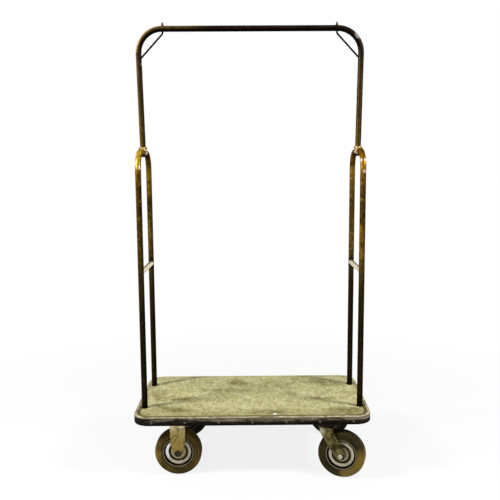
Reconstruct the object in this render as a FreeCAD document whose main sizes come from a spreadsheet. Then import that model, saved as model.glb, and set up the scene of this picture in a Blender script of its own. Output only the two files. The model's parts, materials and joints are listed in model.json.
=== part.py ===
import FreeCAD, Part
import math
import os
import re
import Sketcher
from FreeCAD import Rotation, Vector

# Hotel luggage cart: a carpeted deck on two rigid and two swivel casters, with a tube loop at each
# end and a bent hanger frame that stands on the loops. Millimetres and degrees.
# X runs along the deck to the right, Y from the front to the rear, Z up.
# The origin is on the floor under the middle of the deck.

SIZES = [
    # Deck
    ("deck_length", "1020"),
    ("deck_width", "558"),
    ("deck_corner_radius", "70"),
    ("board_thickness", "28"),
    ("carpet_thickness", "7"),
    ("carpet_gap", "0.3"),
    ("trim_width", "12"),
    ("trim_rise", "1"),
    ("trim_round", "3"),
    ("bumper_thickness", "6"),
    ("bumper_round", "2"),
    ("screw_pitch", "143"),
    ("screw_head_diameter", "9"),
    ("screw_head_depth", "3"),
    ("screw_shank_diameter", "4"),
    ("screw_length", "18"),
    ("screw_clearance", "0.1"),
    # Loops and crossbars
    ("tube_outer", "25.4"),
    ("tube_wall", "2"),
    ("loop_inset", "35"),
    ("loop_depth", "294"),
    ("loop_height", "1123"),
    ("loop_bend_radius", "76"),
    ("crossbar_outer", "24"),
    ("crossbar_wall", "1.5"),
    ("crossbar_rise", "608"),
    ("braze_gap", "0.03"),
    # Hanger frame and the saddles that it stands on
    ("hanger_rise", "527"),
    ("hanger_bend_radius", "102"),
    ("hanger_splay", "1.1"),
    ("saddle_collar", "2.2"),
    ("saddle_rise", "9"),
    ("saddle_skirt", "6"),
    ("saddle_round", "1.8"),
    ("spigot_length", "40"),
    ("spigot_clearance", "0.1"),
    ("saddle_bolt_diameter", "8"),
    ("saddle_bolt_reach", "25"),
    ("saddle_bolt_flats", "13"),
    ("saddle_head_height", "5.5"),
    ("saddle_washer_outer", "21"),
    ("saddle_washer_thickness", "2.5"),
    ("saddle_washer_skirt", "3"),
    ("saddle_screw_diameter", "4"),
    ("saddle_screw_head", "7.5"),
    ("saddle_screw_height", "2.2"),
    ("saddle_screw_dome", "2"),
    ("bolt_clearance", "0.25"),
    ("thread_clearance", "0.05"),
    # Corner rods
    ("rod_diameter", "8"),
    ("rod_stud_diameter", "5"),
    ("rod_inset", "4"),
    ("rod_drop", "8"),
    ("rod_bend_radius", "12"),
    ("rod_foot_drop", "30"),
    ("rod_clearance", "0.05"),
    ("rod_thread_length", "7"),
    ("rod_washer_outer", "13"),
    ("rod_washer_thickness", "2.5"),
    ("rod_washer_skirt", "2"),
    ("cap_nut_flats", "8"),
    ("cap_nut_height", "5"),
    ("cap_nut_dome", "7"),
    # Feet of the loops
    ("plug_length", "35"),
    ("plug_clearance", "0.1"),
    ("post_bolt_diameter", "10"),
    ("post_bolt_reach", "25"),
    ("post_bolt_flats", "17"),
    ("post_head_height", "6.4"),
    ("post_washer_outer", "34"),
    ("post_washer_thickness", "2.5"),
    # Caster plates and the bolts that hold them
    ("caster_end_inset", "129"),
    ("rigid_side_inset", "33"),
    ("swivel_side_inset", "11"),
    ("plate_length", "116"),
    ("plate_width", "88"),
    ("plate_thickness", "6"),
    ("plate_corner_radius", "10"),
    ("plate_bolt_inset", "14.5"),
    ("caster_bolt_diameter", "9.5"),
    ("caster_bolt_tail", "3"),
    ("caster_head_diameter", "21"),
    ("caster_head_height", "5"),
    ("caster_nut_flats", "15"),
    ("caster_nut_height", "8"),
    # Forks and axles
    ("leg_thickness", "5"),
    ("leg_nut_gap", "2.3"),
    ("rigid_taper_rise", "43"),
    ("rigid_tip_width", "13"),
    ("rigid_tip_drop", "16"),
    ("rigid_tip_round", "6"),
    ("rigid_shoulder_round", "4"),
    ("swivel_shoulder_round", "12"),
    ("axle_diameter", "12.7"),
    ("axle_clearance", "0.1"),
    ("axle_flats", "19"),
    ("axle_head_height", "8"),
    ("axle_nut_height", "9"),
    ("axle_nut_dome", "5"),
    ("sleeve_outer", "20"),
    # Swivel heads
    ("swivel_angle", "18"),
    ("swivel_trail", "65"),
    ("wheel_clearance", "11"),
    ("fork_crown_thickness", "7"),
    ("race_rim", "5.5"),
    ("race_drop", "10"),
    ("ball_diameter", "8"),
    ("ball_pitch", "56"),
    ("ball_clearance", "0.1"),
    ("groove_depth", "1.5"),
    ("kingpin_diameter", "14"),
    ("kingpin_clearance", "0.05"),
    ("kingpin_head_diameter", "24"),
    ("kingpin_head_height", "4"),
    ("kingpin_washer_outer", "30"),
    ("kingpin_washer_thickness", "2.5"),
    ("kingpin_washer_gap", "0.3"),
    ("kingpin_nut_flats", "22"),
    ("kingpin_nut_height", "7"),
    ("swivel_leg_back", "26"),
    ("swivel_leg_front", "34"),
    ("swivel_shoulder_drop", "14"),
    ("swivel_tip_width", "36"),
    ("swivel_tip_drop", "18"),
    ("swivel_tip_rise", "15"),
    ("swivel_tip_round", "16"),
    # Wheels
    ("wheel_diameter", "203"),
    ("tyre_width", "50"),
    ("tyre_side_clearance", "6"),
    ("tyre_shoulder_round", "11"),
    ("tyre_bead_round", "2.5"),
    ("tyre_gap", "0.1"),
    ("rim_diameter", "138"),
    ("rim_sheet", "2.5"),
    ("rim_wall_shift", "1.5"),
    ("bead_depth", "5"),
    ("rim_lip_width", "6"),
    ("rim_lip_inset", "1.5"),
    ("outer_groove_width", "8"),
    ("inner_groove_width", "10"),
    ("groove_floor", "2"),
    ("rim_groove_depth", "6"),
    ("ring_width", "12"),
    ("ring_inset", "8"),
    ("hub_inset", "6"),
    ("hub_cone_drop", "3"),
    ("hub_wall", "4"),
    ("hub_end_clearance", "0.5"),
    ("hub_fit", "0.05"),
    ("roller_diameter", "4.8"),
    ("roller_clearance", "0.08"),
    ("cage_thickness", "5"),
    ("cage_recess", "2"),
]

BALL_COUNT = 16
ROLLER_COUNT = 12
TOLERANCE = 0.001
HEX_CORNER = "(2 / sqrt(3))"

# Places on the deck
LOOP_X = "(deck_length / 2 - loop_inset)"
CASTER_X = "(deck_length / 2 - caster_end_inset - plate_length / 2)"
RIGID_Y = "(deck_width / 2 - rigid_side_inset - plate_width / 2)"
SWIVEL_Y = "(deck_width / 2 - swivel_side_inset - plate_width / 2)"
PLATE_BOLT_X = "(plate_length / 2 - plate_bolt_inset)"
PLATE_BOLT_Y = "(plate_width / 2 - plate_bolt_inset)"

# Heights above the floor, stacked up from the wheel
AXLE_HEIGHT = "(wheel_diameter / 2)"
FORK_CROWN = "(wheel_diameter + wheel_clearance)"
FORK_TOP = f"({FORK_CROWN} + fork_crown_thickness)"
RACE = f"({FORK_TOP} + ball_diameter - 2 * groove_depth)"
BALL_HEIGHT = f"({FORK_TOP} + ball_diameter / 2 - groove_depth)"
PLATE = f"({RACE} + race_drop)"
BOARD = f"({PLATE} + plate_thickness)"
BOARD_TOP = f"({BOARD} + board_thickness)"
LOOP_TOP = f"({BOARD_TOP} + loop_height)"
CROSSBAR = f"({BOARD_TOP} + crossbar_rise)"
BAR = f"({LOOP_TOP} + hanger_rise)"

# Hanger frame: each leg leans out from the loop's crown by the splay and bends into the bar
TUBE_RADIUS = "(tube_outer / 2)"
TUBE_BORE = "(tube_outer / 2 - tube_wall)"
LEG_START = "(tube_outer / 2 + saddle_rise)"
COLLAR_RADIUS = "(tube_outer / 2 + saddle_collar)"
SADDLE_SCREW = "(tube_outer / 2 + saddle_rise / 2)"
BEND_TANGENT = "(hanger_bend_radius * tan(45 + hanger_splay / 2))"
LEG_END = f"(hanger_rise / cos(hanger_splay) - {BEND_TANGENT})"
BEND_X = f"({LOOP_X} + hanger_rise * tan(hanger_splay) - {BEND_TANGENT})"

# Corner rods: plumb through the bar, then slanted to a foot on the leg's centre line
ROD_X = f"({BEND_X} - rod_inset)"
ROD_CORNER = f"({BAR} - tube_outer / 2 - rod_drop)"
FOOT_REACH = f"({LEG_END} - rod_foot_drop)"
FOOT_X = f"({LOOP_X} + {FOOT_REACH} * sin(hanger_splay))"
FOOT_Z = f"({LOOP_TOP} + {FOOT_REACH} * cos(hanger_splay))"
ROD_RUN = f"({FOOT_X} - {ROD_X})"
ROD_FALL = f"({ROD_CORNER} - {FOOT_Z})"
ROD_SLANT = f"atan({ROD_RUN} / {ROD_FALL})"
ROD_TANGENT = f"(rod_bend_radius * tan({ROD_SLANT} / 2))"
ROD_SLOPE_LENGTH = f"(sqrt({ROD_RUN} * {ROD_RUN} + {ROD_FALL} * {ROD_FALL}) - {ROD_TANGENT})"

# Forks: the gap takes the tyre, and a rigid leg fits between the nuts under its plate
FORK_GAP = "(tyre_width + 2 * tyre_side_clearance)"
LEG_FACE = f"({FORK_GAP} / 2 + leg_thickness)"
RIGID_LEG_SIDE = f"({PLATE_BOLT_X} - caster_nut_flats / 2 * {HEX_CORNER} - leg_nut_gap)"
RACE_RADIUS = "(ball_pitch / 2 + ball_diameter / 2 + race_rim)"

# Wheel hub, from the axle outwards
SLEEVE_RADIUS = "(sleeve_outer / 2)"
ROLLER_PITCH = f"({SLEEVE_RADIUS} + roller_diameter / 2 + roller_clearance)"
HUB_BORE = f"({SLEEVE_RADIUS} + roller_diameter + 2 * roller_clearance)"
HUB_RADIUS = f"({HUB_BORE} + hub_wall)"
HUB_END = f"({FORK_GAP} / 2 - hub_end_clearance)"
CAGE_START = f"({HUB_END} - cage_recess - cage_thickness)"
ROLLER_END = f"({CAGE_START} - roller_clearance)"

# Wheel rim: radii from the lip inwards, then distances of its faces from the wheel's middle
LIP_RADIUS = "(rim_diameter / 2)"
SEAT_RADIUS = f"({LIP_RADIUS} - bead_depth)"
LIP_INNER = f"({LIP_RADIUS} - rim_lip_width)"
OUTER_GROOVE = f"({LIP_INNER} - outer_groove_width / 2)"
RING_OUTER = f"({LIP_INNER} - outer_groove_width)"
RING_INNER = f"({RING_OUTER} - ring_width)"
INNER_GROOVE = f"({RING_INNER} - inner_groove_width / 2)"
CONE_RADIUS = f"({RING_INNER} - inner_groove_width)"
LIP_FACE = "(tyre_width / 2 - rim_lip_inset)"
LIP_BACK = f"({LIP_FACE} - rim_sheet)"
RING_FACE = f"({LIP_FACE} - ring_inset)"
GROOVE_FACE = f"({RING_FACE} - rim_groove_depth)"
HUB_FACE = f"({LIP_FACE} - hub_inset)"
CONE_FACE = f"({HUB_FACE} - hub_cone_drop)"

X_AXIS = (1, 0, 0)
Y_AXIS = (0, 1, 0)
Z_AXIS = (0, 0, 1)
ALONG_X = (Y_AXIS, "90")
ALONG_Y = (X_AXIS, "-90")
AGAINST_Y = (X_AXIS, "90")
UPRIGHT = (Z_AXIS, "0")

doc = FreeCAD.newDocument("luggage_cart")
sheet = doc.addObject("Spreadsheet::Sheet", "Sizes")
for row, (alias, number) in enumerate(SIZES, start=1):
    sheet.set(f"A{row}", alias)
    sheet.set(f"B{row}", number)
    sheet.setAlias(f"B{row}", alias)
doc.recompute()

nodes = []


def in_sheet(text):
    """Point each size named in an expression at its cell; every size has an underscore."""
    return re.sub(r"\b([a-z]+(?:_[a-z]+)+)\b", r"Sizes.\1", text)


def value(text):
    """The number that an expression gives now."""
    result = sheet.evalExpression(in_sheet(text))
    return float(getattr(result, "Value", result))


def bind(item, **links):
    """Tie an item's properties to expressions of the sizes."""
    for name, text in links.items():
        item.setExpression(name, in_sheet(text))


def place(item, x="0", y="0", z="0", turn=UPRIGHT):
    """Put an item at a point, turned about one axis by an angle."""
    axis, angle = turn
    name = "LinkPlacement" if item.isDerivedFrom("App::Link") else "Placement"
    turned = FreeCAD.Placement(Vector(), Rotation(Vector(*axis), value(angle)))
    setattr(item, name, turned)
    if value(angle) != 0:
        item.setExpression(f"{name}.Rotation.Angle", in_sheet(angle))
    for letter, text in zip("xyz", (x, y, z)):
        item.setExpression(f"{name}.Base.{letter}", in_sheet(text))
    return item


def finish(item, label):
    """Name an item as one of the cart's pieces."""
    item.Label = label
    nodes.append(item)


# Solids from primitives


def cylinder(radius, height, x="0", y="0", z="0", turn=UPRIGHT):
    item = doc.addObject("Part::Cylinder", "Cylinder")
    bind(item, Radius=radius, Height=height)
    return place(item, x, y, z, turn)


def cone(radius_low, radius_high, height, x="0", y="0", z="0", turn=UPRIGHT):
    item = doc.addObject("Part::Cone", "Cone")
    bind(item, Radius1=radius_low, Radius2=radius_high, Height=height)
    return place(item, x, y, z, turn)


def hexagon(flats, height, x="0", y="0", z="0", turn=UPRIGHT):
    item = doc.addObject("Part::Prism", "Hexagon")
    item.Polygon = 6
    bind(item, Circumradius=f"{flats} / 2 * {HEX_CORNER}", Height=height)
    return place(item, x, y, z, turn)


def dome(radius, rise, x="0", y="0", z="0", turn=UPRIGHT):
    """The upper half of an ellipsoid, flat at its base."""
    item = doc.addObject("Part::Ellipsoid", "Dome")
    item.Angle1 = 0
    bind(item, Radius1=rise, Radius2=radius, Radius3=radius)
    return place(item, x, y, z, turn)


def bend(radius, section, angle, centre, start, sweep):
    """A stretch of torus from the start direction towards the sweep direction."""
    item = doc.addObject("Part::Torus", "Bend")
    bind(item, Radius1=radius, Radius2=section, Angle3=angle)
    start = Vector(*start)
    sweep = Vector(*sweep)
    turned = Rotation(start, sweep, start.cross(sweep), "ZXY")
    item.Placement = FreeCAD.Placement(Vector(), turned)
    for letter, text in zip("xyz", centre):
        item.setExpression(f"Placement.Base.{letter}", in_sheet(text))
    return item


def fuse(*parts):
    item = doc.addObject("Part::MultiFuse", "Fuse")
    item.Shapes = list(parts)
    item.Refine = True
    return item


def together(items):
    item = doc.addObject("Part::Compound", "Together")
    item.Links = list(items)
    return item


def cut(base, *tools):
    item = doc.addObject("Part::Cut", "Cut")
    item.Base = base
    item.Tool = tools[0] if len(tools) == 1 else together(tools)
    return item


def copies(seed, spots):
    """Copies of a seed piece, one at each spot; a spot is x, y, z and a turn."""
    links = []
    for spot in spots:
        link = doc.addObject("App::Link", "Copy")
        link.LinkedObject = seed
        link.LinkTransform = True
        links.append(place(link, *spot))
    return together(links)


# Bodies from sketches


def new_body(name):
    return doc.addObject("PartDesign::Body", name)


def sketch_on(body, role, height="0"):
    """An empty sketch on one of a body's origin planes, raised along the plane's normal."""
    sketch = body.newObject("Sketcher::SketchObject", "Sketch")
    plane = next(item for item in body.Origin.OriginFeatures if item.Role == role)
    sketch.AttachmentSupport = [(plane, "")]
    sketch.MapMode = "FlatFace"
    sketch.setExpression("AttachmentOffset.Base.z", in_sheet(height))
    return sketch


def dimension(sketch, kind, ends, size):
    number = sketch.addConstraint(Sketcher.Constraint(kind, *ends, value(size)))
    sketch.setExpression(f"Constraints[{number}]", in_sheet(size))


def add_outline(sketch, corners):
    """A closed outline of straight sides; each corner is a pair of expressions."""
    points = [Vector(value(across), value(along), 0) for across, along in corners]
    following = points[1:] + points[:1]
    first = sketch.GeometryCount
    for start, end in zip(points, following):
        sketch.addGeometry(Part.LineSegment(start, end))
    for index, (across, along) in enumerate(corners):
        line = first + index
        after = first + (index + 1) % len(corners)
        sketch.addConstraint(Sketcher.Constraint("Coincident", line, 2, after, 1))
        dimension(sketch, "DistanceX", (-1, 1, line, 1), across)
        dimension(sketch, "DistanceY", (-1, 1, line, 1), along)


def add_circle(sketch, across, along, radius):
    centre = Vector(value(across), value(along), 0)
    number = sketch.addGeometry(Part.Circle(centre, Vector(0, 0, 1), value(radius)))
    dimension(sketch, "DistanceX", (-1, 1, number, 3), across)
    dimension(sketch, "DistanceY", (-1, 1, number, 3), along)
    dimension(sketch, "Radius", (number,), radius)


def add_rounded_rectangle(sketch, length, width, radius):
    """A rectangle with round corners, centred on the sketch's origin."""
    half_length = value(length) / 2
    half_width = value(width) / 2
    round_now = value(radius)
    inner_x = half_length - round_now
    inner_y = half_width - round_now
    first = sketch.GeometryCount
    sides = [
        (Vector(-inner_x, -half_width, 0), Vector(inner_x, -half_width, 0)),
        (Vector(half_length, -inner_y, 0), Vector(half_length, inner_y, 0)),
        (Vector(inner_x, half_width, 0), Vector(-inner_x, half_width, 0)),
        (Vector(-half_length, inner_y, 0), Vector(-half_length, -inner_y, 0)),
    ]
    centres = [(inner_x, -inner_y), (inner_x, inner_y), (-inner_x, inner_y), (-inner_x, -inner_y)]
    for start, end in sides:
        sketch.addGeometry(Part.LineSegment(start, end))
    for quarter, (across, along) in enumerate(centres):
        circle = Part.Circle(Vector(across, along, 0), Vector(0, 0, 1), round_now)
        begin = math.radians(90 * quarter - 90)
        sketch.addGeometry(Part.ArcOfCircle(circle, begin, begin + math.radians(90)))
    for quarter in range(4):
        side = first + quarter
        arc = first + 4 + quarter
        after = first + (quarter + 1) % 4
        sketch.addConstraint(Sketcher.Constraint("Tangent", side, 2, arc, 1))
        sketch.addConstraint(Sketcher.Constraint("Tangent", arc, 2, after, 1))
        level = "Vertical" if quarter % 2 else "Horizontal"
        sketch.addConstraint(Sketcher.Constraint(level, side))
    for quarter in range(1, 4):
        sketch.addConstraint(Sketcher.Constraint("Equal", first + 4, first + 4 + quarter))
    sketch.addConstraint(Sketcher.Constraint("Symmetric", first, 1, first + 2, 1, -1, 1))
    dimension(sketch, "DistanceX", (first + 3, 1, first + 1, 1), length)
    dimension(sketch, "DistanceY", (first, 1, first + 2, 1), width)
    dimension(sketch, "Radius", (first + 4,), radius)


def pad(body, sketch, length, side="One side"):
    feature = body.newObject("PartDesign::Pad", "Pad")
    feature.Profile = sketch
    feature.SideType = side
    bind(feature, Length=length)
    doc.recompute()


def pocket(body, sketch, depth=None):
    """Cut downwards to a depth, or through the whole body both ways."""
    before = body.Shape.Volume
    feature = body.newObject("PartDesign::Pocket", "Pocket")
    feature.Profile = sketch
    if depth is None:
        feature.Type = "ThroughAll"
        feature.SideType = "Symmetric"
    else:
        bind(feature, Length=depth)
    doc.recompute()
    if body.Shape.Volume >= before:
        raise RuntimeError(f"{body.Name}: a pocket removed nothing")


def turn_about(body, sketch, kind):
    """Turn a sketch all the way about its own upright axis: a Revolution adds, a Groove cuts."""
    feature = body.newObject(f"PartDesign::{kind}", kind)
    feature.Profile = sketch
    feature.ReferenceAxis = (sketch, ["V_Axis"])
    feature.Angle = 360
    doc.recompute()


def fillet(body, radius, wanted):
    """Round the edges of a body's last feature that the test accepts."""
    last = body.Tip
    names = [f"Edge{index}" for index, edge in enumerate(last.Shape.Edges, start=1) if wanted(edge)]
    feature = body.newObject("PartDesign::Fillet", "Fillet")
    feature.Base = (last, names)
    bind(feature, Radius=radius)
    doc.recompute()


def near(first, second):
    return abs(first - second) < TOLERANCE


def is_circle(edge, radius):
    """Whether an edge is an arc or circle of a radius about the body's own axis."""
    return hasattr(edge.Curve, "Radius") and near(edge.Curve.Radius, radius)


def runs_across(edge, x, z):
    """Whether an edge is a straight one along Y at a place seen from the front."""
    box = edge.BoundBox
    return near(box.XMin, x) and near(box.XMax, x) and near(box.ZMin, z) and near(box.ZMax, z)


# Deck


def deck_plate(name, inset, height, thickness):
    """A flat sheet with the deck's outline, set in from its edge."""
    body = new_body(name)
    sketch = sketch_on(body, "XY_Plane", height)
    add_rounded_rectangle(sketch, *deck_outline(inset))
    pad(body, sketch, thickness)
    return body


def deck_outline(inset):
    length = f"deck_length - 2 * ({inset})"
    width = f"deck_width - 2 * ({inset})"
    return length, width, f"deck_corner_radius - ({inset})"


def deck_ring(name, width, height, thickness):
    """A flat ring whose outside is the deck's own outline."""
    body = new_body(name)
    sketch = sketch_on(body, "XY_Plane", height)
    add_rounded_rectangle(sketch, *deck_outline("0"))
    add_rounded_rectangle(sketch, *deck_outline(width))
    pad(body, sketch, thickness)
    return body


def on_outside(edge):
    """Whether an edge of a deck ring belongs to its outer outline."""
    box = edge.BoundBox
    reach_x = max(abs(box.XMin), abs(box.XMax))
    reach_y = max(abs(box.YMin), abs(box.YMax))
    return near(reach_x, value("deck_length / 2")) or near(reach_y, value("deck_width / 2"))


def lies_at(edge, height):
    return near(edge.BoundBox.ZMin, height) and near(edge.BoundBox.ZMax, height)


def post_spots(z):
    return [
        (f"{side} * {LOOP_X}", f"{end} * loop_depth / 2", z)
        for side in (-1, 1)
        for end in (-1, 1)
    ]


def caster_bolt_spots():
    return [
        (
            f"{side} * {CASTER_X} + {across} * {PLATE_BOLT_X}",
            f"{end} * {reach} + {along} * {PLATE_BOLT_Y}",
            BOARD,
        )
        for side, reach in ((-1, RIGID_Y), (1, SWIVEL_Y))
        for end in (-1, 1)
        for across in (-1, 1)
        for along in (-1, 1)
    ]


def screw_spots():
    """Screws at an even pitch along the straight stretches of the deck's edge."""
    height = f"{BOARD} + board_thickness / 2"
    long_steps = int(value("(deck_length / 2 - deck_corner_radius) / screw_pitch"))
    short_steps = int(value("(deck_width / 2 - deck_corner_radius) / screw_pitch"))
    spots = []
    for step in range(-long_steps, long_steps + 1):
        x = f"{step} * screw_pitch"
        spots.append((x, "-deck_width / 2", height, (Z_AXIS, "0")))
        spots.append((x, "deck_width / 2", height, (Z_AXIS, "180")))
    for step in range(-short_steps, short_steps + 1):
        y = f"{step} * screw_pitch"
        spots.append(("-deck_length / 2", y, height, (Z_AXIS, "-90")))
        spots.append(("deck_length / 2", y, height, (Z_AXIS, "90")))
    return spots


def screw(extra):
    """A countersunk screw that points along Y, with its head's face at the origin."""
    head_radius = f"screw_head_diameter / 2 + {extra}"
    shank_radius = f"screw_shank_diameter / 2 + {extra}"
    head = cone(head_radius, shank_radius, "screw_head_depth", turn=ALONG_Y)
    shank = cylinder(shank_radius, f"screw_length + {extra}", turn=ALONG_Y)
    return fuse(head, shank)


def make_deck():
    board = deck_plate("BoardBlank", "bumper_thickness", BOARD, "board_thickness")
    bolt_hole = fuse(
        cylinder("caster_bolt_diameter / 2 + bolt_clearance", "board_thickness"),
        cylinder(
            "caster_head_diameter / 2 + bolt_clearance",
            "caster_head_height",
            z="board_thickness - caster_head_height",
        ),
    )
    post_hole = cylinder("post_bolt_diameter / 2 + bolt_clearance", "board_thickness")
    screw_hole = screw("screw_clearance")
    holes = [
        copies(bolt_hole, caster_bolt_spots()),
        copies(post_hole, post_spots(BOARD)),
        copies(screw_hole, screw_spots()),
    ]
    finish(cut(board, *holes), "deck_board")

    carpet = deck_plate("CarpetBlank", "trim_width + carpet_gap", BOARD_TOP, "carpet_thickness")
    opening = cylinder(f"{TUBE_RADIUS} + carpet_gap", "carpet_thickness")
    finish(cut(carpet, copies(opening, post_spots(BOARD_TOP))), "deck_carpet")

    trim = deck_ring("Trim", "trim_width", BOARD_TOP, "carpet_thickness + trim_rise")
    trim_top = value(f"{BOARD_TOP} + carpet_thickness + trim_rise")
    fillet(trim, "trim_round", lambda edge: on_outside(edge) and lies_at(edge, trim_top))
    finish(trim, "carpet_trim")

    bumper = deck_ring("BumperBlank", "bumper_thickness", BOARD, "board_thickness")
    levels = (value(BOARD), value(BOARD_TOP))
    fillet(
        bumper,
        "bumper_round",
        lambda edge: on_outside(edge) and (lies_at(edge, levels[0]) or lies_at(edge, levels[1])),
    )
    finish(cut(bumper, copies(screw_hole, screw_spots())), "bumper_strip")
    finish(copies(screw("0"), screw_spots()), "bumper_screws")


# Loops, crossbars and feet


def loop_run(side, section):
    """The solid run of one loop: two legs, two bends and the crown between them."""
    x = f"{side} * {LOOP_X}"
    reach = "(loop_depth / 2 - loop_bend_radius)"
    leg_height = "loop_height - loop_bend_radius"
    bend_height = f"{LOOP_TOP} - loop_bend_radius"
    return fuse(
        cylinder(section, leg_height, x, "-loop_depth / 2", BOARD_TOP),
        cylinder(section, leg_height, x, "loop_depth / 2", BOARD_TOP),
        cylinder(section, f"2 * {reach}", x, f"-{reach}", LOOP_TOP, ALONG_Y),
        bend("loop_bend_radius", section, "90", (x, f"-{reach}", bend_height), (0, 0, 1), (0, -1, 0)),
        bend("loop_bend_radius", section, "90", (x, reach, bend_height), (0, 1, 0), (0, 0, 1)),
    )


def crown_turn(side):
    """The lean of the hanger's leg on one side, about the loop's crown."""
    return (Y_AXIS, f"{side} * hanger_splay")


def along_leg(side, reach):
    """A point on the centre line of the hanger's leg, at a reach from the loop's crown."""
    x = f"{side} * ({LOOP_X} + ({reach}) * sin(hanger_splay))"
    z = f"{LOOP_TOP} + ({reach}) * cos(hanger_splay)"
    return x, "0", z


def leg_rod(side, radius, start, end):
    """A cylinder along the hanger's leg between two reaches from the loop's crown."""
    return cylinder(radius, f"({end}) - ({start})", *along_leg(side, start), crown_turn(side))


def make_loop(side, name):
    tube = cut(loop_run(side, TUBE_RADIUS), loop_run(side, TUBE_BORE))
    bolt_hole = leg_rod(side, "saddle_bolt_diameter / 2 + bolt_clearance", "-tube_outer", "tube_outer")
    finish(cut(tube, bolt_hole), f"{name}_loop")

    x = f"{side} * {LOOP_X}"
    bar_place = (x, "-loop_depth / 2", CROSSBAR, ALONG_Y)
    solid_bar = cylinder("crossbar_outer / 2", "loop_depth", *bar_place)
    bar_bore = cylinder("crossbar_outer / 2 - crossbar_wall", "loop_depth", *bar_place)
    posts = [
        cylinder(f"{TUBE_RADIUS} + braze_gap", "loop_height", x, f"{end} * loop_depth / 2", BOARD_TOP)
        for end in (-1, 1)
    ]
    finish(cut(solid_bar, bar_bore, *posts), f"{name}_crossbar")


def make_feet():
    """Plugs in the loops' feet, and the bolts and washers that draw them down on the board."""
    bolt_radius = "post_bolt_diameter / 2"
    plug = cut(
        cylinder(f"{TUBE_BORE} - plug_clearance", "plug_length"),
        cylinder(f"{bolt_radius} + thread_clearance", "plug_length"),
    )
    finish(copies(plug, post_spots(BOARD_TOP)), "post_plugs")

    under_washer = "-post_washer_thickness"
    shank_height = "post_washer_thickness + board_thickness + post_bolt_reach"
    bolt = fuse(
        hexagon("post_bolt_flats", "post_head_height", z=f"{under_washer} - post_head_height"),
        cylinder(bolt_radius, shank_height, z=under_washer),
    )
    finish(copies(bolt, post_spots(BOARD)), "post_bolts")

    washer = cut(
        cylinder("post_washer_outer / 2", "post_washer_thickness", z=under_washer),
        cylinder(f"{bolt_radius} + bolt_clearance", "post_washer_thickness", z=under_washer),
    )
    finish(copies(washer, post_spots(BOARD)), "post_washers")


# Hanger frame


def hanger_run(section):
    """The solid run of the hanger frame: two splayed legs, two bends and the bar."""
    parts = [cylinder(section, f"2 * {BEND_X}", f"-{BEND_X}", "0", BAR, ALONG_X)]
    for side in (-1, 1):
        centre = (f"{side} * {BEND_X}", "0", f"{BAR} - hanger_bend_radius")
        turned = "90 + hanger_splay"
        parts.append(bend("hanger_bend_radius", section, turned, centre, (0, 0, 1), (side, 0, 0)))
        parts.append(leg_rod(side, section, LEG_START, LEG_END))
    return fuse(*parts)


def slanted_rod(side, radius, length):
    """The slanted stretch of a corner rod, from its foot on the leg's centre line."""
    return cylinder(radius, length, f"{side} * {FOOT_X}", "0", FOOT_Z, (Y_AXIS, f"{-side} * {ROD_SLANT}"))


def make_hanger():
    stud_hole = "rod_stud_diameter / 2 + rod_clearance"
    foot_hole = "rod_diameter / 2 + rod_clearance"
    holes = []
    for side in (-1, 1):
        rod_x = f"{side} * {ROD_X}"
        holes.append(cylinder(stud_hole, "2 * tube_outer", rod_x, "0", f"{BAR} - tube_outer"))
        holes.append(slanted_rod(side, foot_hole, "2 * tube_outer"))
    tube = cut(hanger_run(TUBE_RADIUS), hanger_run(TUBE_BORE))
    finish(cut(tube, *holes), "hanger_frame")


def make_corner_rod(side, name):
    """A bent rod, turned down to a stud where it passes up through the bar."""
    x = f"{side} * {ROD_X}"
    bend_height = f"({ROD_CORNER} + {ROD_TANGENT})"
    shoulder = f"({BAR} - tube_outer / 2 - rod_clearance)"
    tip = f"({BAR} + tube_outer / 2 + rod_washer_thickness + rod_thread_length)"
    centre = (f"{side} * ({ROD_X} + rod_bend_radius)", "0", bend_height)
    radius = "rod_diameter / 2"
    rod = fuse(
        cylinder("rod_stud_diameter / 2", f"{tip} - {bend_height}", x, "0", bend_height),
        cylinder(radius, f"{shoulder} - {bend_height}", x, "0", bend_height),
        bend("rod_bend_radius", radius, ROD_SLANT, centre, (-side, 0, 0), (0, 0, -1)),
        slanted_rod(side, radius, ROD_SLOPE_LENGTH),
    )
    finish(rod, f"{name}_corner_rod")


def make_rod_nuts():
    """Saddle washers and cap nuts where the corner rods come out above the bar."""
    spots = [(f"{side} * {ROD_X}", "0", BAR) for side in (-1, 1)]
    washer_base = "tube_outer / 2 - rod_washer_skirt"
    washer = cut(
        cylinder("rod_washer_outer / 2", "rod_washer_skirt + rod_washer_thickness", z=washer_base),
        cylinder(TUBE_RADIUS, "2 * rod_washer_outer", x="-rod_washer_outer", turn=ALONG_X),
        cylinder("rod_stud_diameter / 2 + rod_clearance", "tube_outer"),
    )
    finish(copies(washer, spots), "rod_washers")

    seat = "(tube_outer / 2 + rod_washer_thickness)"
    nut = cut(
        fuse(
            hexagon("cap_nut_flats", "cap_nut_height", z=seat),
            dome("cap_nut_flats / 2", "cap_nut_dome", z=f"{seat} + cap_nut_height"),
        ),
        cylinder("rod_stud_diameter / 2 + thread_clearance", "rod_thread_length", z=seat),
    )
    finish(copies(nut, spots), "rod_cap_nuts")


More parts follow.
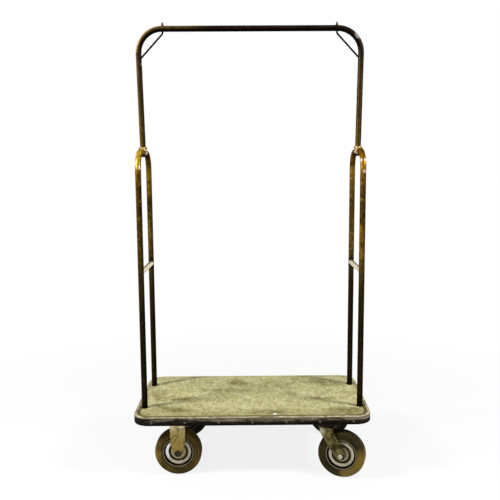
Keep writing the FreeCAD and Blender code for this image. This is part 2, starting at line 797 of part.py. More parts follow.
def make_saddle(side, name):
    """A turned saddle: a round collar on the loop's crown and a spigot inside the hanger's leg."""
    spigot_radius = f"({TUBE_BORE} - spigot_clearance)"
    skirt = f"({TUBE_RADIUS} - saddle_skirt)"
    spigot_top = f"({LEG_START} + spigot_length)"
    body = new_body("SaddleBlank")
    sketch = sketch_on(body, "XZ_Plane")
    add_outline(sketch, [
        ("0", skirt),
        (COLLAR_RADIUS, skirt),
        (COLLAR_RADIUS, LEG_START),
        (spigot_radius, LEG_START),
        (spigot_radius, spigot_top),
        ("0", spigot_top),
    ])
    turn_about(body, sketch, "Revolution")
    fillet(body, "saddle_round", lambda edge: is_circle(edge, value(COLLAR_RADIUS)))
    place(body, *along_leg(side, "0"), crown_turn(side))
    crown_x = f"{side} * {LOOP_X}"
    crown = cylinder(TUBE_RADIUS, "2 * tube_outer", crown_x, "-tube_outer", LOOP_TOP, ALONG_Y)
    thread = leg_rod(
        side, "saddle_bolt_diameter / 2 + thread_clearance", "0", f"{LEG_START} + saddle_bolt_reach"
    )
    screw_holes = [
        cylinder(
            "saddle_screw_diameter / 2 + thread_clearance", f"2 * {COLLAR_RADIUS}",
            *along_leg(side, SADDLE_SCREW), (Y_AXIS, f"{way} * 90 + {side} * hanger_splay")
        )
        for way in (-1, 1)
    ]
    finish(cut(body, crown, thread, *screw_holes), f"{name}_post_saddle")


def make_saddle_bolts():
    """Bolts from under each crown up into the saddles, each on a washer and locked by two side screws."""
    spots = [(*along_leg(side, "0"), crown_turn(side)) for side in (-1, 1)]
    seat = "(-tube_outer / 2 - saddle_washer_thickness)"
    shank_height = f"{LEG_START} + saddle_bolt_reach - {seat}"
    bolt = fuse(
        hexagon("saddle_bolt_flats", "saddle_head_height", z=f"{seat} - saddle_head_height"),
        cylinder("saddle_bolt_diameter / 2", shank_height, z=seat),
    )
    finish(copies(bolt, spots), "saddle_bolts")

    washer = cut(
        cylinder("saddle_washer_outer / 2", "saddle_washer_thickness + saddle_washer_skirt", z=seat),
        cylinder(TUBE_RADIUS, "2 * saddle_washer_outer", y="-saddle_washer_outer", turn=ALONG_Y),
        cylinder("saddle_bolt_diameter / 2 + bolt_clearance", "tube_outer", z=seat),
    )
    finish(copies(washer, spots), "saddle_washers")

    inner_end = "(saddle_bolt_diameter / 2 + thread_clearance)"
    head_radius = "saddle_screw_head / 2"
    crest = f"{COLLAR_RADIUS} + saddle_screw_height"
    shank = cylinder(
        "saddle_screw_diameter / 2", f"{COLLAR_RADIUS} - {inner_end}", inner_end, "0", SADDLE_SCREW, ALONG_X
    )
    screw = fuse(
        shank,
        cylinder(head_radius, "saddle_screw_height", COLLAR_RADIUS, "0", SADDLE_SCREW, ALONG_X),
        dome(head_radius, "saddle_screw_dome", crest, "0", SADDLE_SCREW, ALONG_X),
    )
    pair = copies(screw, [("0", "0", "0"), ("0", "0", "0", (Z_AXIS, "180"))])
    finish(copies(pair, spots), "saddle_screws")


# Casters: each seed stands with the caster's own axis on the origin and its axle along Y


def add_plate(body):
    """The caster's top plate, with its four bolt holes still to be cut."""
    sketch = sketch_on(body, "XY_Plane", PLATE)
    add_rounded_rectangle(sketch, "plate_length", "plate_width", "plate_corner_radius")
    pad(body, sketch, "plate_thickness")


def drill_plate(body):
    sketch = sketch_on(body, "XY_Plane")
    for across in (-1, 1):
        for along in (-1, 1):
            add_circle(
                sketch,
                f"{across} * {PLATE_BOLT_X}",
                f"{along} * {PLATE_BOLT_Y}",
                "caster_bolt_diameter / 2 + bolt_clearance",
            )
    pocket(body, sketch)


def open_fork(body, top):
    """Clear the wheel's space between the legs, up to a height."""
    sketch = sketch_on(body, "YZ_Plane")
    half = f"{FORK_GAP} / 2"
    add_outline(sketch, [(f"-{half}", "0"), (half, "0"), (half, top), (f"-{half}", top)])
    pocket(body, sketch)


def bore_axle(body, x):
    sketch = sketch_on(body, "XZ_Plane")
    add_circle(sketch, x, AXLE_HEIGHT, "axle_diameter / 2 + axle_clearance")
    pocket(body, sketch)


def rigid_fork():
    """A rigid fork: plumb legs that taper to the axle, under the top plate."""
    body = new_body("RigidFork")
    side = RIGID_LEG_SIDE
    tip = "rigid_tip_width / 2"
    taper = f"({AXLE_HEIGHT} + rigid_taper_rise)"
    low = f"({AXLE_HEIGHT} - rigid_tip_drop)"
    legs = sketch_on(body, "XZ_Plane")
    add_outline(legs, [
        (f"-{side}", PLATE),
        (f"-{side}", taper),
        (f"-{tip}", low),
        (tip, low),
        (side, taper),
        (side, PLATE),
    ])
    pad(body, legs, f"2 * {LEG_FACE}", "Symmetric")
    open_fork(body, PLATE)
    fillet(body, "rigid_tip_round", lambda edge: at_mirrored_corner(edge, tip, low))
    fillet(body, "rigid_shoulder_round", lambda edge: at_mirrored_corner(edge, side, taper))
    add_plate(body)
    drill_plate(body)
    bore_axle(body, "0")
    return body


def at_mirrored_corner(edge, x, z):
    return any(runs_across(edge, sign * value(x), value(z)) for sign in (-1, 1))


def swivel_fork():
    """A swivel fork: a round crown under the ball race, and legs raked back to the axle."""
    body = new_body("SwivelFork")
    shoulder = f"({FORK_CROWN} - swivel_shoulder_drop)"
    low = f"({AXLE_HEIGHT} - swivel_tip_drop)"
    rise = f"({AXLE_HEIGHT} + swivel_tip_rise)"
    tip_back = "(swivel_trail - swivel_tip_width / 2)"
    tip_front = "(swivel_trail + swivel_tip_width / 2)"
    legs = sketch_on(body, "XZ_Plane")
    add_outline(legs, [
        ("-swivel_leg_back", FORK_TOP),
        ("-swivel_leg_back", shoulder),
        (tip_back, low),
        (tip_front, low),
        (tip_front, rise),
        ("swivel_leg_front", shoulder),
        ("swivel_leg_front", FORK_TOP),
    ])
    pad(body, legs, f"2 * {LEG_FACE}", "Symmetric")
    open_fork(body, FORK_CROWN)
    tips = [(tip_back, low), (tip_front, low)]
    shoulders = [("-swivel_leg_back", shoulder), (tip_front, rise), ("swivel_leg_front", shoulder)]
    fillet(body, "swivel_tip_round", lambda edge: at_corner(edge, tips))
    fillet(body, "swivel_shoulder_round", lambda edge: at_corner(edge, shoulders))
    crown = sketch_on(body, "XY_Plane", FORK_CROWN)
    add_circle(crown, "0", "0", RACE_RADIUS)
    pad(body, crown, "fork_crown_thickness")
    cut_ball_groove(body)
    bore_kingpin(body)
    bore_axle(body, "swivel_trail")
    return body


def at_corner(edge, corners):
    return any(runs_across(edge, value(x), value(z)) for x, z in corners)


def cut_ball_groove(body):
    before = body.Shape.Volume
    sketch = sketch_on(body, "XZ_Plane")
    add_circle(sketch, "ball_pitch / 2", BALL_HEIGHT, "ball_diameter / 2 + ball_clearance")
    turn_about(body, sketch, "Groove")
    if body.Shape.Volume >= before:
        raise RuntimeError(f"{body.Name}: the ball groove removed nothing")


def bore_kingpin(body):
    sketch = sketch_on(body, "XY_Plane")
    add_circle(sketch, "0", "0", "kingpin_diameter / 2 + kingpin_clearance")
    pocket(body, sketch)


def swivel_plate():
    """A swivel caster's top plate, with the upper ball race under it."""
    body = new_body("SwivelPlate")
    race = sketch_on(body, "XY_Plane", RACE)
    add_circle(race, "0", "0", RACE_RADIUS)
    pad(body, race, "race_drop")
    add_plate(body)
    cut_ball_groove(body)
    bore_kingpin(body)
    recess = sketch_on(body, "XY_Plane", BOARD)
    add_circle(recess, "0", "0", "kingpin_head_diameter / 2 + bolt_clearance")
    pocket(body, recess, "kingpin_head_height")
    drill_plate(body)
    return body


def race_balls():
    """The ring of balls between the plate's race and the fork's crown."""
    ball = doc.addObject("Part::Sphere", "Ball")
    bind(ball, Radius="ball_diameter / 2")
    spots = []
    for index in range(BALL_COUNT):
        angle = 360 * index / BALL_COUNT
        spots.append((f"ball_pitch / 2 * cos({angle})", f"ball_pitch / 2 * sin({angle})", BALL_HEIGHT))
    return copies(ball, spots)


def make_kingpins(spots):
    """Kingpins through plate and crown, each with a thrust washer and a nut under the crown."""
    radius = "kingpin_diameter / 2"
    washer_top = f"({FORK_CROWN} - kingpin_washer_gap)"
    washer_base = f"({washer_top} - kingpin_washer_thickness)"
    nut_base = f"({washer_base} - kingpin_nut_height)"
    head_base = f"({BOARD} - kingpin_head_height)"
    kingpin = fuse(
        cylinder("kingpin_head_diameter / 2", "kingpin_head_height", z=head_base),
        cylinder(radius, f"{head_base} - {nut_base}", z=nut_base),
    )
    washer = cut(
        cylinder("kingpin_washer_outer / 2", "kingpin_washer_thickness", z=washer_base),
        cylinder(f"{radius} + thread_clearance", "kingpin_washer_thickness", z=washer_base),
    )
    nut = cut(
        hexagon("kingpin_nut_flats", "kingpin_nut_height", z=nut_base),
        cylinder(f"{radius} + thread_clearance", "kingpin_nut_height", z=nut_base),
    )
    finish(copies(kingpin, spots), "swivel_kingpins")
    finish(copies(washer, spots), "kingpin_washers")
    finish(copies(nut, spots), "kingpin_nuts")


def make_caster_bolts():
    """Round-head bolts down through the board and each plate, with nuts below."""
    radius = "caster_bolt_diameter / 2"
    shank_base = "(-plate_thickness - caster_nut_height - caster_bolt_tail)"
    head_base = "(board_thickness - caster_head_height)"
    bolt = fuse(
        cone("caster_head_diameter / 2", radius, "caster_head_height", z=head_base),
        cylinder(radius, f"{head_base} - {shank_base}", z=shank_base),
    )
    nut_base = "-plate_thickness - caster_nut_height"
    nut = cut(
        hexagon("caster_nut_flats", "caster_nut_height", z=nut_base),
        cylinder(f"{radius} + thread_clearance", "caster_nut_height", z=nut_base),
    )
    finish(copies(bolt, caster_bolt_spots()), "caster_bolts")
    finish(copies(nut, caster_bolt_spots()), "caster_nuts")


# Axles and wheels: each seed has the wheel's centre on the origin, and its outer side faces the front


def axle_bolt():
    length = f"2 * {LEG_FACE} + axle_nut_height"
    return fuse(
        hexagon("axle_flats", "axle_head_height", y=LEG_FACE, turn=ALONG_Y),
        cylinder("axle_diameter / 2", length, y=LEG_FACE, turn=AGAINST_Y),
    )


def axle_nut():
    """A domed nut that closes over the axle's end."""
    return cut(
        fuse(
            hexagon("axle_flats", "axle_nut_height", y=f"-{LEG_FACE}", turn=AGAINST_Y),
            dome("axle_flats / 2", "axle_nut_dome", y=f"-{LEG_FACE} - axle_nut_height", turn=AGAINST_Y),
        ),
        cylinder(
            "axle_diameter / 2 + thread_clearance", "axle_nut_height", y=f"-{LEG_FACE}", turn=AGAINST_Y
        ),
    )


def axle_sleeve():
    """The sleeve that the legs clamp and the rollers run on."""
    return cut(
        cylinder(SLEEVE_RADIUS, FORK_GAP, y=f"-{FORK_GAP} / 2", turn=ALONG_Y),
        cylinder("axle_diameter / 2 + axle_clearance", FORK_GAP, y=f"-{FORK_GAP} / 2", turn=ALONG_Y),
    )


def tyre():
    body = new_body("Tyre")
    outer = "wheel_diameter / 2"
    side = "tyre_width / 2"
    bead = f"({LIP_BACK} - tyre_gap)"
    seat = f"({SEAT_RADIUS} + tyre_gap)"
    lip = f"({LIP_RADIUS} + tyre_gap)"
    sketch = sketch_on(body, "XY_Plane")
    add_outline(sketch, [
        (seat, f"-{bead}"),
        (lip, f"-{bead}"),
        (lip, f"-{side}"),
        (outer, f"-{side}"),
        (outer, side),
        (lip, side),
        (lip, bead),
        (seat, bead),
    ])
    turn_about(body, sketch, "Revolution")
    shoulder = f"min(tyre_shoulder_round; ({outer} - {lip}) / 2)"
    fillet(body, shoulder, lambda edge: is_circle(edge, value(outer)))
    fillet(body, "tyre_bead_round", lambda edge: is_bead_edge(edge, value(lip), value(side)))
    return body


def is_bead_edge(edge, radius, side):
    return is_circle(edge, radius) and near(abs(edge.BoundBox.Center.y), side)


def rim_half(name, sign, hub):
    """One pressed half of the wheel's rim; hub is its outline where it meets the hub."""
    groove_back = f"({GROOVE_FACE} - rim_sheet)"
    ring_back = f"({RING_FACE} - rim_sheet)"
    half_floor = "groove_floor / 2"
    outside = [
        (SEAT_RADIUS, "0"),
        (SEAT_RADIUS, LIP_BACK),
        (LIP_RADIUS, LIP_BACK),
        (LIP_RADIUS, LIP_FACE),
        (LIP_INNER, LIP_FACE),
        (f"{OUTER_GROOVE} + {half_floor}", GROOVE_FACE),
        (f"{OUTER_GROOVE} - {half_floor}", GROOVE_FACE),
        (RING_OUTER, RING_FACE),
        (RING_INNER, RING_FACE),
        (f"{INNER_GROOVE} + {half_floor}", GROOVE_FACE),
        (f"{INNER_GROOVE} - {half_floor}", GROOVE_FACE),
        (CONE_RADIUS, CONE_FACE),
    ]
    inside = [
        (f"{CONE_RADIUS} - rim_wall_shift", f"{CONE_FACE} - rim_sheet"),
        (f"{INNER_GROOVE} - {half_floor} - rim_wall_shift", groove_back),
        (f"{INNER_GROOVE} + {half_floor} + rim_wall_shift", groove_back),
        (f"{RING_INNER} + rim_wall_shift", ring_back),
        (f"{RING_OUTER} - rim_wall_shift", ring_back),
        (f"{OUTER_GROOVE} - {half_floor} - rim_wall_shift", groove_back),
        (f"{SEAT_RADIUS} - rim_sheet", groove_back),
        (f"{SEAT_RADIUS} - rim_sheet", "0"),
    ]
    body = new_body(name)
    sketch = sketch_on(body, "XY_Plane")
    corners = outside + hub + inside
    add_outline(sketch, [(radius, f"{sign} * ({along})") for radius, along in corners])
    turn_about(body, sketch, "Revolution")
    return body


def outer_rim():
    """The front half, which slips over the hub tube."""
    bore = f"{HUB_RADIUS} + hub_fit"
    return rim_half("OuterRim", -1, [(bore, HUB_FACE), (bore, f"{HUB_FACE} - rim_sheet")])


def inner_rim():
    """The rear half, with the hub tube welded in it."""
    return rim_half("InnerRim", 1, [
        (HUB_RADIUS, HUB_FACE),
        (HUB_RADIUS, HUB_END),
        (HUB_BORE, HUB_END),
        (HUB_BORE, f"-{HUB_END}"),
        (HUB_RADIUS, f"-{HUB_END}"),
        (HUB_RADIUS, f"{HUB_FACE} - rim_sheet"),
    ])


def roller_bearing():
    """Loose rollers round the sleeve, with a cage ring at each end."""
    roller = cylinder("roller_diameter / 2", f"2 * {ROLLER_END}", y=f"-{ROLLER_END}", turn=ALONG_Y)
    spots = []
    for index in range(ROLLER_COUNT):
        angle = 360 * index / ROLLER_COUNT
        spots.append((f"{ROLLER_PITCH} * cos({angle})", "0", f"{ROLLER_PITCH} * sin({angle})"))
    ring = cut(
        cylinder(f"{HUB_BORE} - roller_clearance", "cage_thickness", y=CAGE_START, turn=ALONG_Y),
        cylinder(f"{SLEEVE_RADIUS} + roller_clearance", "cage_thickness", y=CAGE_START, turn=ALONG_Y),
    )
    rings = copies(ring, [("0", "0", "0"), ("0", "0", "0", (Z_AXIS, "180"))])
    return together([copies(roller, spots), rings])


def make_casters():
    rigid_spots = {"front_left": -1, "rear_left": 1}
    swivel_spots = {"front_right": -1, "rear_right": 1}
    heading = (Z_AXIS, "-swivel_angle")
    fork_rigid = rigid_fork()
    fork_swivel = swivel_fork()
    plate = swivel_plate()
    balls = race_balls()
    bolt = axle_bolt()
    nut = axle_nut()
    sleeve = axle_sleeve()
    wheel = {
        "tyre": tyre(),
        "rim_outer": outer_rim(),
        "rim_inner": inner_rim(),
        "bearing": roller_bearing(),
    }

    axles = {}
    for name, end in rigid_spots.items():
        x = f"-{CASTER_X}"
        y = f"{end} * {RIGID_Y}"
        axles[name] = (x, y, AXLE_HEIGHT, UPRIGHT)
        finish(copies(fork_rigid, [(x, y, "0")]), f"{name}_fork")
    rigid_axles = list(axles.values())
    finish(copies(bolt, rigid_axles), "rigid_axle_bolts")
    finish(copies(nut, rigid_axles), "rigid_axle_nuts")
    finish(copies(sleeve, rigid_axles), "rigid_axle_sleeves")

    kingpin_spots = []
    for name, end in swivel_spots.items():
        x = CASTER_X
        y = f"{end} * {SWIVEL_Y}"
        axle_x = f"{x} + swivel_trail * cos(swivel_angle)"
        axle_y = f"{y} - swivel_trail * sin(swivel_angle)"
        axles[name] = (axle_x, axle_y, AXLE_HEIGHT, heading)
        kingpin_spots.append((x, y, "0"))
        finish(copies(plate, [(x, y, "0")]), f"{name}_swivel_plate")
        finish(copies(fork_swivel, [(x, y, "0", heading)]), f"{name}_fork")
        finish(copies(balls, [(x, y, "0", heading)]), f"{name}_race_balls")
        finish(copies(bolt, [axles[name]]), f"{name}_axle_bolt")
        finish(copies(nut, [axles[name]]), f"{name}_axle_nut")
        finish(copies(sleeve, [axles[name]]), f"{name}_axle_sleeve")
    make_kingpins(kingpin_spots)

    for name, spot in axles.items():
        for piece, seed in wheel.items():
            finish(copies(seed, [spot]), f"{name}_{piece}")


def check_model():
    """Stop if anything failed to build."""
    for item in doc.Objects:
        if "Invalid" in item.State or "Error" in item.State:
            raise RuntimeError(f"{item.Label} failed: {item.State}")
    for node in nodes:
        if node.Shape.isNull() or not node.Shape.isValid() or not node.Shape.Solids:
            raise RuntimeError(f"{node.Label} has no valid solid")


make_deck()
for loop_side, loop_name in ((-1, "left"), (1, "right")):
    make_loop(loop_side, loop_name)
    make_saddle(loop_side, loop_name)
    make_corner_rod(loop_side, loop_name)
make_feet()
make_hanger()
make_rod_nuts()
make_saddle_bolts()
make_caster_bolts()
make_casters()
doc.recompute()
check_model()

os.makedirs("parts", exist_ok=True)
for node in nodes:
    node.Shape.exportStep(f"parts/{node.Label}.step")
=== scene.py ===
import json
import math
import random

import bpy
from mathutils import Matrix, Vector, geometry, noise


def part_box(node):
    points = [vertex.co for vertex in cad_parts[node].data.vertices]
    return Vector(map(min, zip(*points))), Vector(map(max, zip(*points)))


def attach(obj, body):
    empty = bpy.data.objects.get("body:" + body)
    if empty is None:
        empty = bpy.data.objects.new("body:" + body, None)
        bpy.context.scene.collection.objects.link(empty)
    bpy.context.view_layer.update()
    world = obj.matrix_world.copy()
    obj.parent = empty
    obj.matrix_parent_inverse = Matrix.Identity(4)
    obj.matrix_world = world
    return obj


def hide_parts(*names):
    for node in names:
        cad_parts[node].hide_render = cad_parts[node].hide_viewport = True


# Looks of a hotel luggage cart: worn carpet on the deck, antique brass tubes, dusty casters.
# Metres, in the model's own frame: X along the deck, Y to the rear, Z up.

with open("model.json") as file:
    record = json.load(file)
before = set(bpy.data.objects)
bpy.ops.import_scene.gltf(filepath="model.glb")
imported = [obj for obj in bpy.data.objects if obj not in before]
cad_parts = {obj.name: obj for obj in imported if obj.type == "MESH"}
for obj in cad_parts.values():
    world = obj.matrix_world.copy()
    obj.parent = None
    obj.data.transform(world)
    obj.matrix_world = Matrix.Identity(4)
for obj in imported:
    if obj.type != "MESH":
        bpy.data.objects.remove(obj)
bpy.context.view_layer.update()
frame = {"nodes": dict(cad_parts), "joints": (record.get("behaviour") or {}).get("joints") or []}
nodes = frame["nodes"]

# Camera, found by fitting the deck, the tubes and the wheels to the photograph
FOCAL_PIXELS = 649.7
IMAGE_PIXELS = 500
SENSOR_MM = 36.0
EYE = Vector((-0.0037, -2.9095, 1.3205))
PITCH = 0.12962
YAW = -0.00734
ROLL = -0.006
CENTRE_PIXEL = (255.2, 253.0)

# Carpet
PILE_STEP = 0.005
OUTLINE_STEP = 0.004
CARPET_CORNER = 0.0577
HOLE_RADIUS = 0.0131
HOLE_STEPS = 28
HOLE_SHARE = 0.98
MERGE_DISTANCE = 1e-7
POST_X = 0.475
POST_Y = 0.147
EDGE_ROLL = 0.009
EDGE_DROP = 0.0014
POST_ROLL = 0.006
POST_DROP = 0.0015
PILE_TOP = 0.0004
PILE_JITTER = 0.3
PILE_SEED = 7
SWELL_HEIGHT = 0.0007
SWELL_SCALE = 7
SWELL_SEED = 3.1
LUMP_HEIGHT = 0.0005
LUMP_SCALE = 45
LUMP_SEED = 8.4
SHARP_DEGREES = 50

# Painted shade and dirt along the carpet's edge inside the lip, and round the posts' feet. A pair is the
# stretch over which it fades out.
EDGE_SHADE_AND_DIRT = (0.009, 0.020)
POST_SHADE_AND_DIRT = 0.6
POST_SHADE_AND_DIRT_REACH = 0.012
# The painted shade along the edge is fainter towards the rear
REAR_EDGE = (-0.22, 0.10)
REAR_FAINTER = 0.9

# General soil on the carpet, in ragged patches
SOIL_SCALE = (14, 20)
SOIL_SEED = 5.7
SOIL_FRACTAL = (0.6, 2.0, 4)
SOIL_STRENGTH = 0.35
SOIL_EDGE = (0.15, 0.60)

# Old stains on the carpet, ragged at their edges: middle, reach along and across the deck, strength
STAIN_GAIN = 1.25
STAIN_EDGE = (1.10, 0.25)
STAIN_RAGGED = 0.45
STAINS = [
    (-0.070, 0.183, 0.060, 0.070, 0.7),
    (-0.158, 0.069, 0.110, 0.035, 0.6),
    (-0.329, -0.185, 0.080, 0.045, 0.8),
    (-0.386, -0.147, 0.060, 0.040, 0.6),
    # This one is a stain and also a painted shadow of the front-left post
    (-0.330, -0.048, 0.120, 0.035, 0.7),
    (-0.434, 0.020, 0.050, 0.070, 0.5),
    (0.411, -0.205, 0.090, 0.060, 0.9),
    (0.325, 0.188, 0.110, 0.050, 0.5),
    (0.384, 0.142, 0.080, 0.040, 0.5),
    (0.310, -0.051, 0.110, 0.035, 0.4),
    (0.097, 0.149, 0.120, 0.080, 0.3),
    (0.068, -0.215, 0.120, 0.030, 0.6),
]

# A chip of white paint that has dried on the pile
FLECK = (0.096, -0.240, 0.2775)
FLECK_REACH = (0.0095, 0.0070)

# Where a finish changes on the deck and tubes. A pair is where the change sets in and where it is full.
CARPET_FRONT = (-0.13, -0.25)
LIP_REAR = (0.10, 0.24)
LIP_SIDE = (0.2768, 0.2748)
BAND_SCUFFED = (0.255, 0.268)
BAND_FOOT = (0.2530, 0.2460)
HANDLED_ABOVE = (0.82, 0.98)
HANDLED_BELOW = (1.46, 1.38)
LIT_SIDE = (-0.10, -0.38)

# The same on the casters, by distance from the axle
# The nut rings and the tyre's bead are painted shadows; the cream ring bounds the painted highlights on
# the rims
RIGID_NUT_SHADOW = (0.0155, 0.0115)
SWIVEL_NUT_SHADOW = (0.0165, 0.0125)
TYRE_BEAD_SHADOW = (0.0750, 0.0690)
CREAM_INNER = (0.0425, 0.0440)
CREAM_OUTER = (0.0556, 0.0545)

# Ends of the runs of colour: heights on tubes and rigid forks, distances from the axle on rims
TUBE_ENDS = (0.25, 1.95)
FORK_ENDS = (0.08, 0.242)
RIM_ENDS = (0.010, 0.072)

# Fine ribs, in radians per metre: plies on the board's edge and mould rings on the tyres
PLY_RATE = 1350.0
MOULD_RATE = 900.0

# Swivel forks: the painted shadow's shift from the nut, and the worn corner from the foot of the swivel's
# axis
SWIVEL_RING_SHIFT = (0.003, 0.0, -0.003)
WORN_CORNER = (-0.022, -0.036, 0.205)

# How unevenly the painted shade lies on the rear rims
SHADE_SPREAD = 0.08

# Turns the sum of two directions at right angles into one direction between them
SLANT = 0.707

# Sharp edges, by how well the rounded normal agrees with the true one
BEVEL_SAMPLES = 6
EDGE_MATCH = (0.985, 0.90)

# The swivel casters' wheels are turned from the deck's own axes
SWIVEL_SPIN = "front_right_wheel_spin"
SWIVEL_AXLE = next(Vector(joint["axis"]) for joint in frame["joints"] if joint["name"] == SWIVEL_SPIN)
SWIVEL_ANGLE = math.atan2(SWIVEL_AXLE.x, SWIVEL_AXLE.y)

# Studio: two soft lamps, a little light from all round and a floor that fades into the background
LAMP_PLACE = (2.6, -1.1, 2.45)
LAMP_TARGET = (0.0, 0.0, 0.6)
LAMP_SIZE = 0.55
LEFT_POWER = 100.0
RIGHT_POWER = 82.0
FILL_STRENGTH = 0.25
FLOOR_HALF = 40.0
FLOOR_DROP = 0.0005
FLOOR_TONE = 0.86
FADE_START = 0.7
FADE_END = 2.6
FADE_LEAST = 0.84


def rgb(red, green, blue):
    """A colour from its screen values, 0 to 255."""
    linear = []
    for channel in (red, green, blue):
        share = channel / 255
        if share > 0.04045:
            linear.append(((share + 0.055) / 1.055) ** 2.4)
        else:
            linear.append(share / 12.92)
    return (*linear, 1.0)


class Finish:
    """A material that is built up from nodes round one surface shader."""

    def __init__(self, name):
        self.material = bpy.data.materials.new(name)
        self.material.use_nodes = True
        self.tree = self.material.node_tree
        self.surface = self.tree.nodes["Principled BSDF"]
        self.place = self.add("ShaderNodeTexCoord").outputs["Object"]

    def add(self, kind, **settings):
        node = self.tree.nodes.new(kind)
        for name, setting in settings.items():
            setattr(node, name, setting)
        return node

    def feed(self, socket, source):
        """Link a socket to an output, or set its plain value."""
        if isinstance(source, bpy.types.NodeSocket):
            self.tree.links.new(source, socket)
        else:
            socket.default_value = source

    def maths(self, operation, first, second=0.0):
        node = self.add("ShaderNodeMath", operation=operation)
        self.feed(node.inputs[0], first)
        self.feed(node.inputs[1], second)
        return node.outputs[0]

    def vectors(self, operation, first, second, output="Vector"):
        node = self.add("ShaderNodeVectorMath", operation=operation)
        self.feed(node.inputs[0], first)
        self.feed(node.inputs[1], second)
        return node.outputs[output]

    def axis(self, letter):
        """One coordinate of the piece's own frame."""
        node = self.add("ShaderNodeSeparateXYZ")
        self.feed(node.inputs[0], self.place)
        return node.outputs[letter]

    def facing(self, letter):
        """One coordinate of the surface's own direction."""
        node = self.add("ShaderNodeSeparateXYZ")
        self.feed(node.inputs[0], self.add("ShaderNodeNewGeometry").outputs["Normal"])
        return node.outputs[letter]

    def stretched(self, x, y, z):
        """Coordinates squeezed along each axis, so that a pattern runs long where the factor is small."""
        return self.vectors("MULTIPLY", self.place, (x, y, z))

    def noise(self, scale, detail=4.0, roughness=0.55, place=None):
        node = self.add("ShaderNodeTexNoise")
        self.feed(node.inputs["Vector"], place or self.place)
        node.inputs["Scale"].default_value = scale
        node.inputs["Detail"].default_value = detail
        node.inputs["Roughness"].default_value = roughness
        return node.outputs["Fac"]

    def specks(self, scale, size):
        """A mask of scattered small spots."""
        node = self.add("ShaderNodeTexVoronoi")
        self.feed(node.inputs["Vector"], self.place)
        node.inputs["Scale"].default_value = scale
        return self.between(size, size * 0.6, node.outputs["Distance"])

    def between(self, low, high, source):
        """A smooth step from 0 at low to 1 at high."""
        node = self.add("ShaderNodeMapRange", interpolation_type="SMOOTHSTEP")
        self.feed(node.inputs["Value"], source)
        flip = low > high
        node.inputs["From Min"].default_value = min(low, high)
        node.inputs["From Max"].default_value = max(low, high)
        node.inputs["To Min"].default_value = 1.0 if flip else 0.0
        node.inputs["To Max"].default_value = 0.0 if flip else 1.0
        return node.outputs["Result"]

    def mix(self, factor, first, second):
        node = self.add("ShaderNodeMix", data_type="RGBA")
        self.feed(node.inputs[0], factor)
        self.feed(node.inputs[6], first)
        self.feed(node.inputs[7], second)
        return node.outputs[2]

    def layer(self, base, colour, mask, strength):
        """A colour laid over a base where a mask lets it show, at a given strength."""
        return self.mix(self.maths("MULTIPLY", mask, strength), base, colour)

    def ramp(self, source, low, high, stops):
        """Colours at given values of a source between low and high."""
        span = self.add("ShaderNodeMapRange")
        self.feed(span.inputs["Value"], source)
        span.inputs["From Min"].default_value = low
        span.inputs["From Max"].default_value = high
        node = self.add("ShaderNodeValToRGB")
        self.feed(node.inputs["Fac"], span.outputs["Result"])
        points = node.color_ramp.elements
        while len(points) < len(stops):
            points.new(0.5)
        for point, (at, colour) in zip(points, sorted(stops)):
            point.position = (at - low) / (high - low)
            point.color = colour
        return node.outputs["Color"]

    def span(self, low, high, source):
        """A factor from 0 to 1 turned into a plain range."""
        return self.maths("ADD", self.maths("MULTIPLY", source, high - low), low)

    def edges(self, radius):
        """A mask of sharp edges, where a rounded normal would leave the true one."""
        bevel = self.add("ShaderNodeBevel", samples=BEVEL_SAMPLES)
        bevel.inputs["Radius"].default_value = radius
        true = self.add("ShaderNodeNewGeometry").outputs["Normal"]
        match = self.vectors("DOT_PRODUCT", bevel.outputs["Normal"], true, "Value")
        return self.between(*EDGE_MATCH, match)

    def radius(self, centre, axle):
        """Distance from an axle."""
        offset = self.vectors("SUBTRACT", self.place, tuple(centre))
        across = self.vectors("CROSS_PRODUCT", offset, tuple(axle))
        return self.vectors("LENGTH", across, (0, 0, 0), "Value")

    def swirl(self, radius, fine, slow):
        """A pattern that runs round an axle: quick across the radius, slow along it."""
        node = self.add("ShaderNodeCombineXYZ")
        self.feed(node.inputs["X"], self.maths("MULTIPLY", radius, fine))
        self.feed(node.inputs["Y"], self.maths("MULTIPLY", self.axis("X"), slow))
        self.feed(node.inputs["Z"], self.maths("MULTIPLY", self.axis("Z"), slow))
        return self.noise(1.0, 4.0, 0.6, node.outputs["Vector"])

    def bump(self, height, depth):
        node = self.add("ShaderNodeBump")
        node.inputs["Distance"].default_value = depth
        self.feed(node.inputs["Height"], height)
        return node.outputs["Normal"]

    def use(self, **inputs):
        """Set the surface shader's inputs by name, with underscores for spaces."""
        for name, source in inputs.items():
            self.feed(self.surface.inputs[name.replace("_", " ")], source)
        return self.material


def paint(material, *names):
    """Give a material to whole nodes."""
    for name in names:
        for slot in nodes[name].material_slots:
            slot.material = material


# Materials


